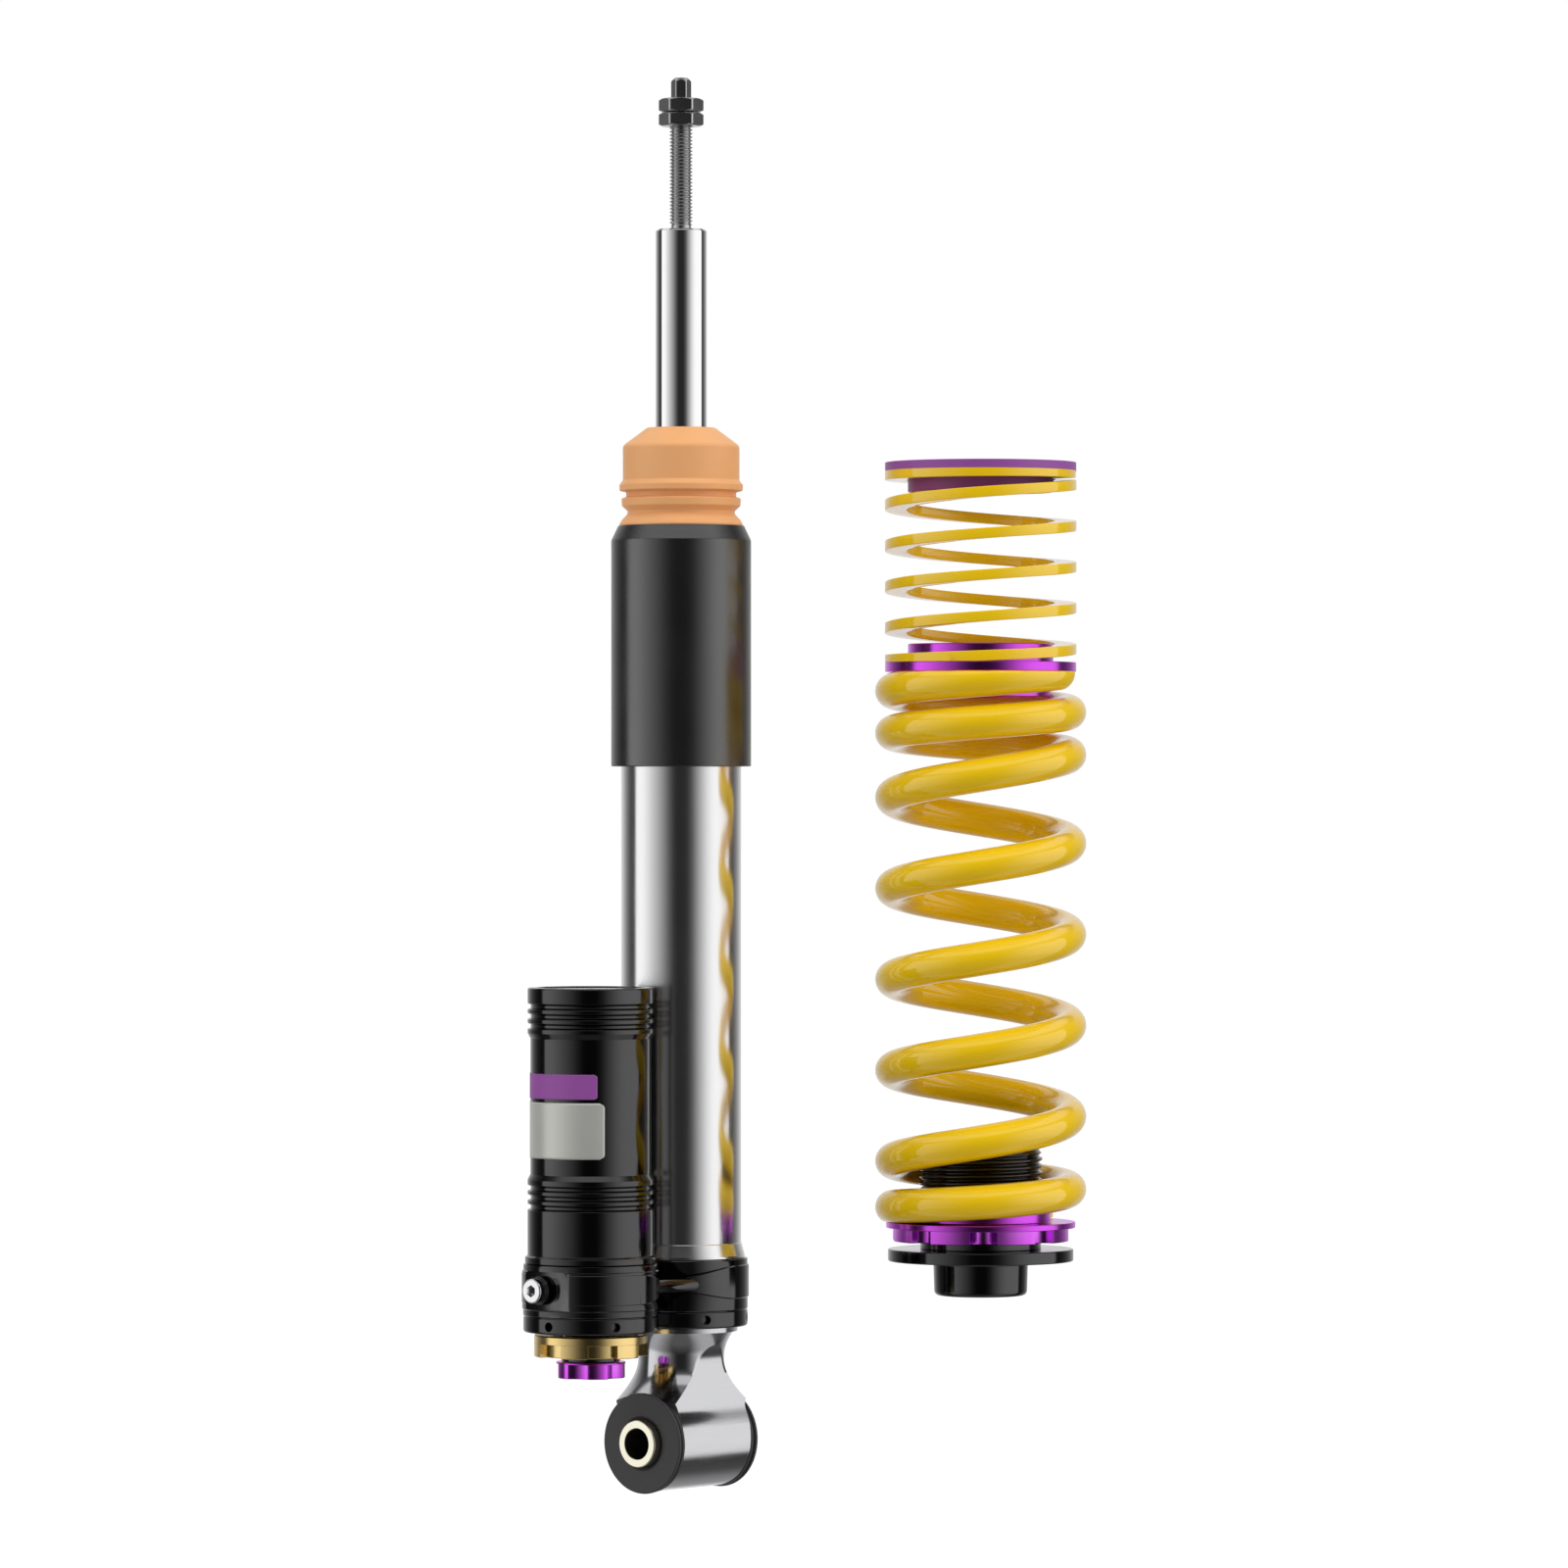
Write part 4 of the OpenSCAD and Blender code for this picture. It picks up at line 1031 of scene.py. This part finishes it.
def coil_springs():
    # main spring: round wire, eight turns, both end coils closed and ground flat
    b = box("main_spring")
    wire, coil, steps, sides = 7.4, 37.9, 56, 40
    total = 16

    def height(h):
        return (b.z1 + 0.9 - 9 * h - 10.5 * ramp_area(h, 3.79, 4.39)
                + 11.7 * ramp_area(h, 12.8, 13.9))

    rings, weights = [], []
    n = total * steps
    turn = CAM_AZ
    tip, heel = 0.16, total - 0.25      # the ground ends stop short of the full half turns
    for i in range(-5, n + 6):
        h = min(heel, max(tip, tip + (heel - tip) * i / n))
        over = max(0, -i, i - n)          # rings past the end round the cut edge
        shrink = 1 - (1 - math.cos(math.asin(min(1, over / 5.0)))) * 0.22
        a = turn - h * PI - (over * 0.0022 if i > n else -over * 0.0022 if i < 0 else 0)
        zc = height(h)
        w = min(1, max(0, 1 - (h - 4.0) / (14.1 - 4.0)))
        ring = []
        for j in range(sides):
            c = TAU * j / sides
            r = coil + wire * shrink * math.cos(c)
            z = min(b.z1, max(SEAT, zc + wire * shrink * math.sin(c)))
            ring.append((UNIT[0] + r * math.cos(a), UNIT[1] + r * math.sin(a), z))
            weights.append(w)
        rings.append(ring)
    make_spring("main_spring_v", "main_spring", rings)

    # helper spring: flat wire
    b = box("helper_spring")
    r_in, r_out, t, c = 31.7, 41.1, 4.5, 0.4
    z_top = b.z1

    def flat_height(h):
        return (z_top - 1 - 0.8 * h - 8.0 * (ramp_area(h, 1, 2.2) - ramp_area(h, 9.9, 11.1)))

    section = fillet([(r_in, -t / 2), (r_out, -t / 2), (r_out, t / 2), (r_in, t / 2)], c, 4)
    rings, weights = [], []
    steps = 60
    n = int(11.5 * steps)
    for i in range(n + 1):
        h = i / steps
        a = turn - h * PI
        zc = flat_height(h)
        w = min(1, max(0, 1 - (h - 1.0) / (11.0 - 1.0)))
        near = min(i, n - i) / 4.0
        pull = 0.35 * max(0.0, 1 - near)
        ring = []
        for r, z in section:
            rr = r + (pull if r < (r_in + r_out) / 2 else -pull)
            zz = min(b.z1, max(b.z0, zc + z * (1 - pull * 0.4)))
            ring.append((UNIT[0] + rr * math.cos(a), UNIT[1] + rr * math.sin(a), zz))
            weights.append(w)
        rings.append(ring)
    make_spring("helper_spring_v", "helper_spring", rings)


def make_spring(name, node, rings):
    v, f = sweep(rings)
    me = bpy.data.meshes.new(name)
    me.from_pydata([tuple(p) for p in np.asarray(v, float) * MM], [], f)
    o = bpy.data.objects.new(name, me)
    bpy.context.scene.collection.objects.link(o)
    me.materials.append(M.yellow)
    bm = bmesh.new()
    bm.from_mesh(me)
    bmesh.ops.recalc_face_normals(bm, faces=bm.faces)
    bm.to_mesh(me)
    bm.free()
    me.shade_smooth()
    me.set_sharp_from_angle(angle=math.radians(42))
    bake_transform(o)
    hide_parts(node)


coil_springs()

# ------------------------------------------------------------------ label
def label():
    """A plain foil round the reservoir, with a plain colour bar above it: no marks, no letters."""
    lb = box("blank_label")
    r = RES_BODY_R + 0.12
    a1 = FACING + math.radians(14.5)
    a0 = a1 - math.radians(114)

    def patch(z0, z1, s, e, corner):
        rows, cols = 24, 72
        verts = []
        for j in range(rows + 1):
            for i in range(cols + 1):
                u, w = i / cols, j / rows
                a = s + (e - s) * u
                z = z0 + (z1 - z0) * w
                # round the corners by drawing the ends in
                edge = max(0.0, corner - min(z - z0, z1 - z))
                inset = (corner - math.sqrt(max(0.0, corner ** 2 - edge ** 2))) / r
                a = min(e - inset, max(s + inset, a))
                verts.append((RES[0] + r * math.cos(a), RES[1] + r * math.sin(a), z))
        return verts, skin(rows + 1, cols + 1, around=False)

    for name, mat, z0, z1, end, corner in (
            ("label_foil", M.foil, lb.z0, lb.z1, a1, 2.2),
            ("label_bar", M.purple_matt, lb.z1 + 1.5, lb.z1 + 12, a1 - 0.12, 1.4)):
        o = piece(name, *patch(z0, z1, a0, end, corner), mat, "blank_label", sharp=60)
        s = o.modifiers.new("thick", "SOLIDIFY")
        s.thickness = 0.0001
        s.offset = 1


label()

# ------------------------------------------------------------------ stage and light
FLOOR_Z = CAD_BOX[0][2] - 0.045


def stage():
    me = bpy.data.meshes.new("floor")
    s = 30
    me.from_pydata([(-s, -s, FLOOR_Z), (s, -s, FLOOR_Z), (s, s, FLOOR_Z), (-s, s, FLOOR_Z)], [],
                   [(0, 1, 2, 3)])
    floor = bpy.data.objects.new("floor", me)
    bpy.context.scene.collection.objects.link(floor)
    m = bpy.data.materials.new("floor")
    m.use_nodes = True
    t = Tree(m.node_tree)
    out = t.node("ShaderNodeOutputMaterial")
    path = t.node("ShaderNodeLightPath")
    seen = t.node("ShaderNodeEmission", Color=(1, 1, 1, 1), Strength=0.93)
    other = t.node("ShaderNodeEmission", Color=(1, 1, 1, 1), Strength=0.50)
    soft = t.node("ShaderNodeBsdfDiffuse", Color=(0.12, 0.12, 0.12, 1))
    both = t.node("ShaderNodeAddShader")
    t.put(both.inputs[0], seen)
    t.put(both.inputs[1], soft)
    pick = t.node("ShaderNodeMixShader")
    t.put(pick.inputs[0], path.outputs["Is Camera Ray"])
    t.put(pick.inputs[1], other)
    t.put(pick.inputs[2], both)
    t.put(out.inputs["Surface"], pick)
    me.materials.append(m)
    floor.visible_glossy = False


stage()


def world():
    """White backdrop; two tall soft boxes either side of the camera and one overhead, as the
    gloss sees them, by heading round the object."""
    w = bpy.data.worlds.new("studio")
    bpy.context.scene.world = w
    w.use_nodes = True
    t = Tree(w.node_tree)
    out = t.node("ShaderNodeOutputWorld")
    d = t.node("ShaderNodeTexCoord").outputs["Generated"]

    def dot(v):
        n = t.node("ShaderNodeVectorMath", operation="DOT_PRODUCT")
        t.put(n.inputs[0], d)
        n.inputs[1].default_value = tuple(v)
        return n.outputs["Value"]

    ahead, aside = dot(TOWARD), dot(RIGHT)
    up = t.node("ShaderNodeSeparateXYZ", Vector=d).outputs[2]
    heading = t.span(t.math("ARCTAN2", aside, ahead), -PI, PI, 0.0, 1.0)
    # brightness by degrees round from the camera, positive to its right
    side = t.ramp(heading, [((d + 180) / 360, v) for d, v in (
        (-180, .85), (-150, .60), (-134, .30), (-121, .125), (-110, .05), (-98.5, .045),
        (-96.5, 1.05), (-89, 1.05), (-77, 1.0), (-65, .785), (-54, .587), (-44, .427), (-34, .27),
        (-24.5, .123), (-15, .041), (-8, .02), (8, .022), (13, .03), (22.6, .10), (32, .30),
        (42, .534), (52, .79), (63, .98), (75, 1.05), (104, 1.05), (107, .045), (113, .05),
        (122, .11), (134, .24), (150, .50), (180, .85))])
    rise = t.math("ARCSINE", up)
    rise = t.math("DIVIDE", rise, PI / 2)          # -1 straight down, 1 straight up
    window = t.ramp(t.span(rise, -1, 1, 0, 1), [
        (0.0, 0.50), (0.34, 0.50), (0.385, 1.0), (0.66, 1.0), (0.675, 0.15), (0.72, 0.12),
        (0.735, 0.9), (0.83, 0.9), (0.85, 0.25), (1.0, 0.3)])
    lift = t.ramp(t.span(rise, -1, 1, 0, 1), [
        (0.0, 0.12), (0.22, 0.12), (0.36, 0.04), (0.42, 0.0), (0.60, 0.0), (0.70, 0.10),
        (0.735, 0.75), (0.83, 0.75), (0.85, 0.2), (1.0, 0.25)])
    glow = t.math("MAXIMUM", t.math("MULTIPLY", side, window), lift)
    bg_gloss = t.node("ShaderNodeBackground", Color=glow, Strength=1.0)
    bg_white = t.node("ShaderNodeBackground", Color=(1, 1, 1, 1), Strength=1.0)
    ambient = t.math("ADD", t.math("MULTIPLY", side, 0.95), 0.26)
    bg_soft = t.node("ShaderNodeBackground", Color=ambient, Strength=1.0)
    path = t.node("ShaderNodeLightPath")
    first = t.node("ShaderNodeMixShader")
    t.put(first.inputs[0], path.outputs["Is Diffuse Ray"])
    t.put(first.inputs[1], bg_gloss)
    t.put(first.inputs[2], bg_soft)
    last = t.node("ShaderNodeMixShader")
    t.put(last.inputs[0], path.outputs["Is Camera Ray"])
    t.put(last.inputs[1], first)
    t.put(last.inputs[2], bg_white)
    t.put(out.inputs["Surface"], last)


world()


def area(name, heading, rise, distance, size, power):
    """A soft fill light that gloss doesn't see, placed by heading from the camera's side."""
    data = bpy.data.lights.new(name, "AREA")
    data.shape = "RECTANGLE"
    data.size, data.size_y = size
    data.energy = power
    o = bpy.data.objects.new(name, data)
    h, r = math.radians(heading), math.radians(rise)
    d = (TOWARD * math.cos(h) + RIGHT * math.sin(h)) * math.cos(r) + Vector((0, 0, math.sin(r)))
    centre = Vector((0.05, 0.04, 0.28))
    o.location = centre + d * distance
    o.rotation_euler = (-d).to_track_quat("-Z", "Y").to_euler()
    o.visible_glossy = False
    bpy.context.scene.collection.objects.link(o)


area("fill_right", 62, 24, 2.6, (1.4, 2.0), 16)
area("fill_left", -62, 24, 2.6, (1.4, 2.0), 10)
area("fill_top", 0, 72, 2.4, (1.6, 1.6), 15)
area("fill_back", 180, 25, 2.6, (1.6, 2.0), 8)
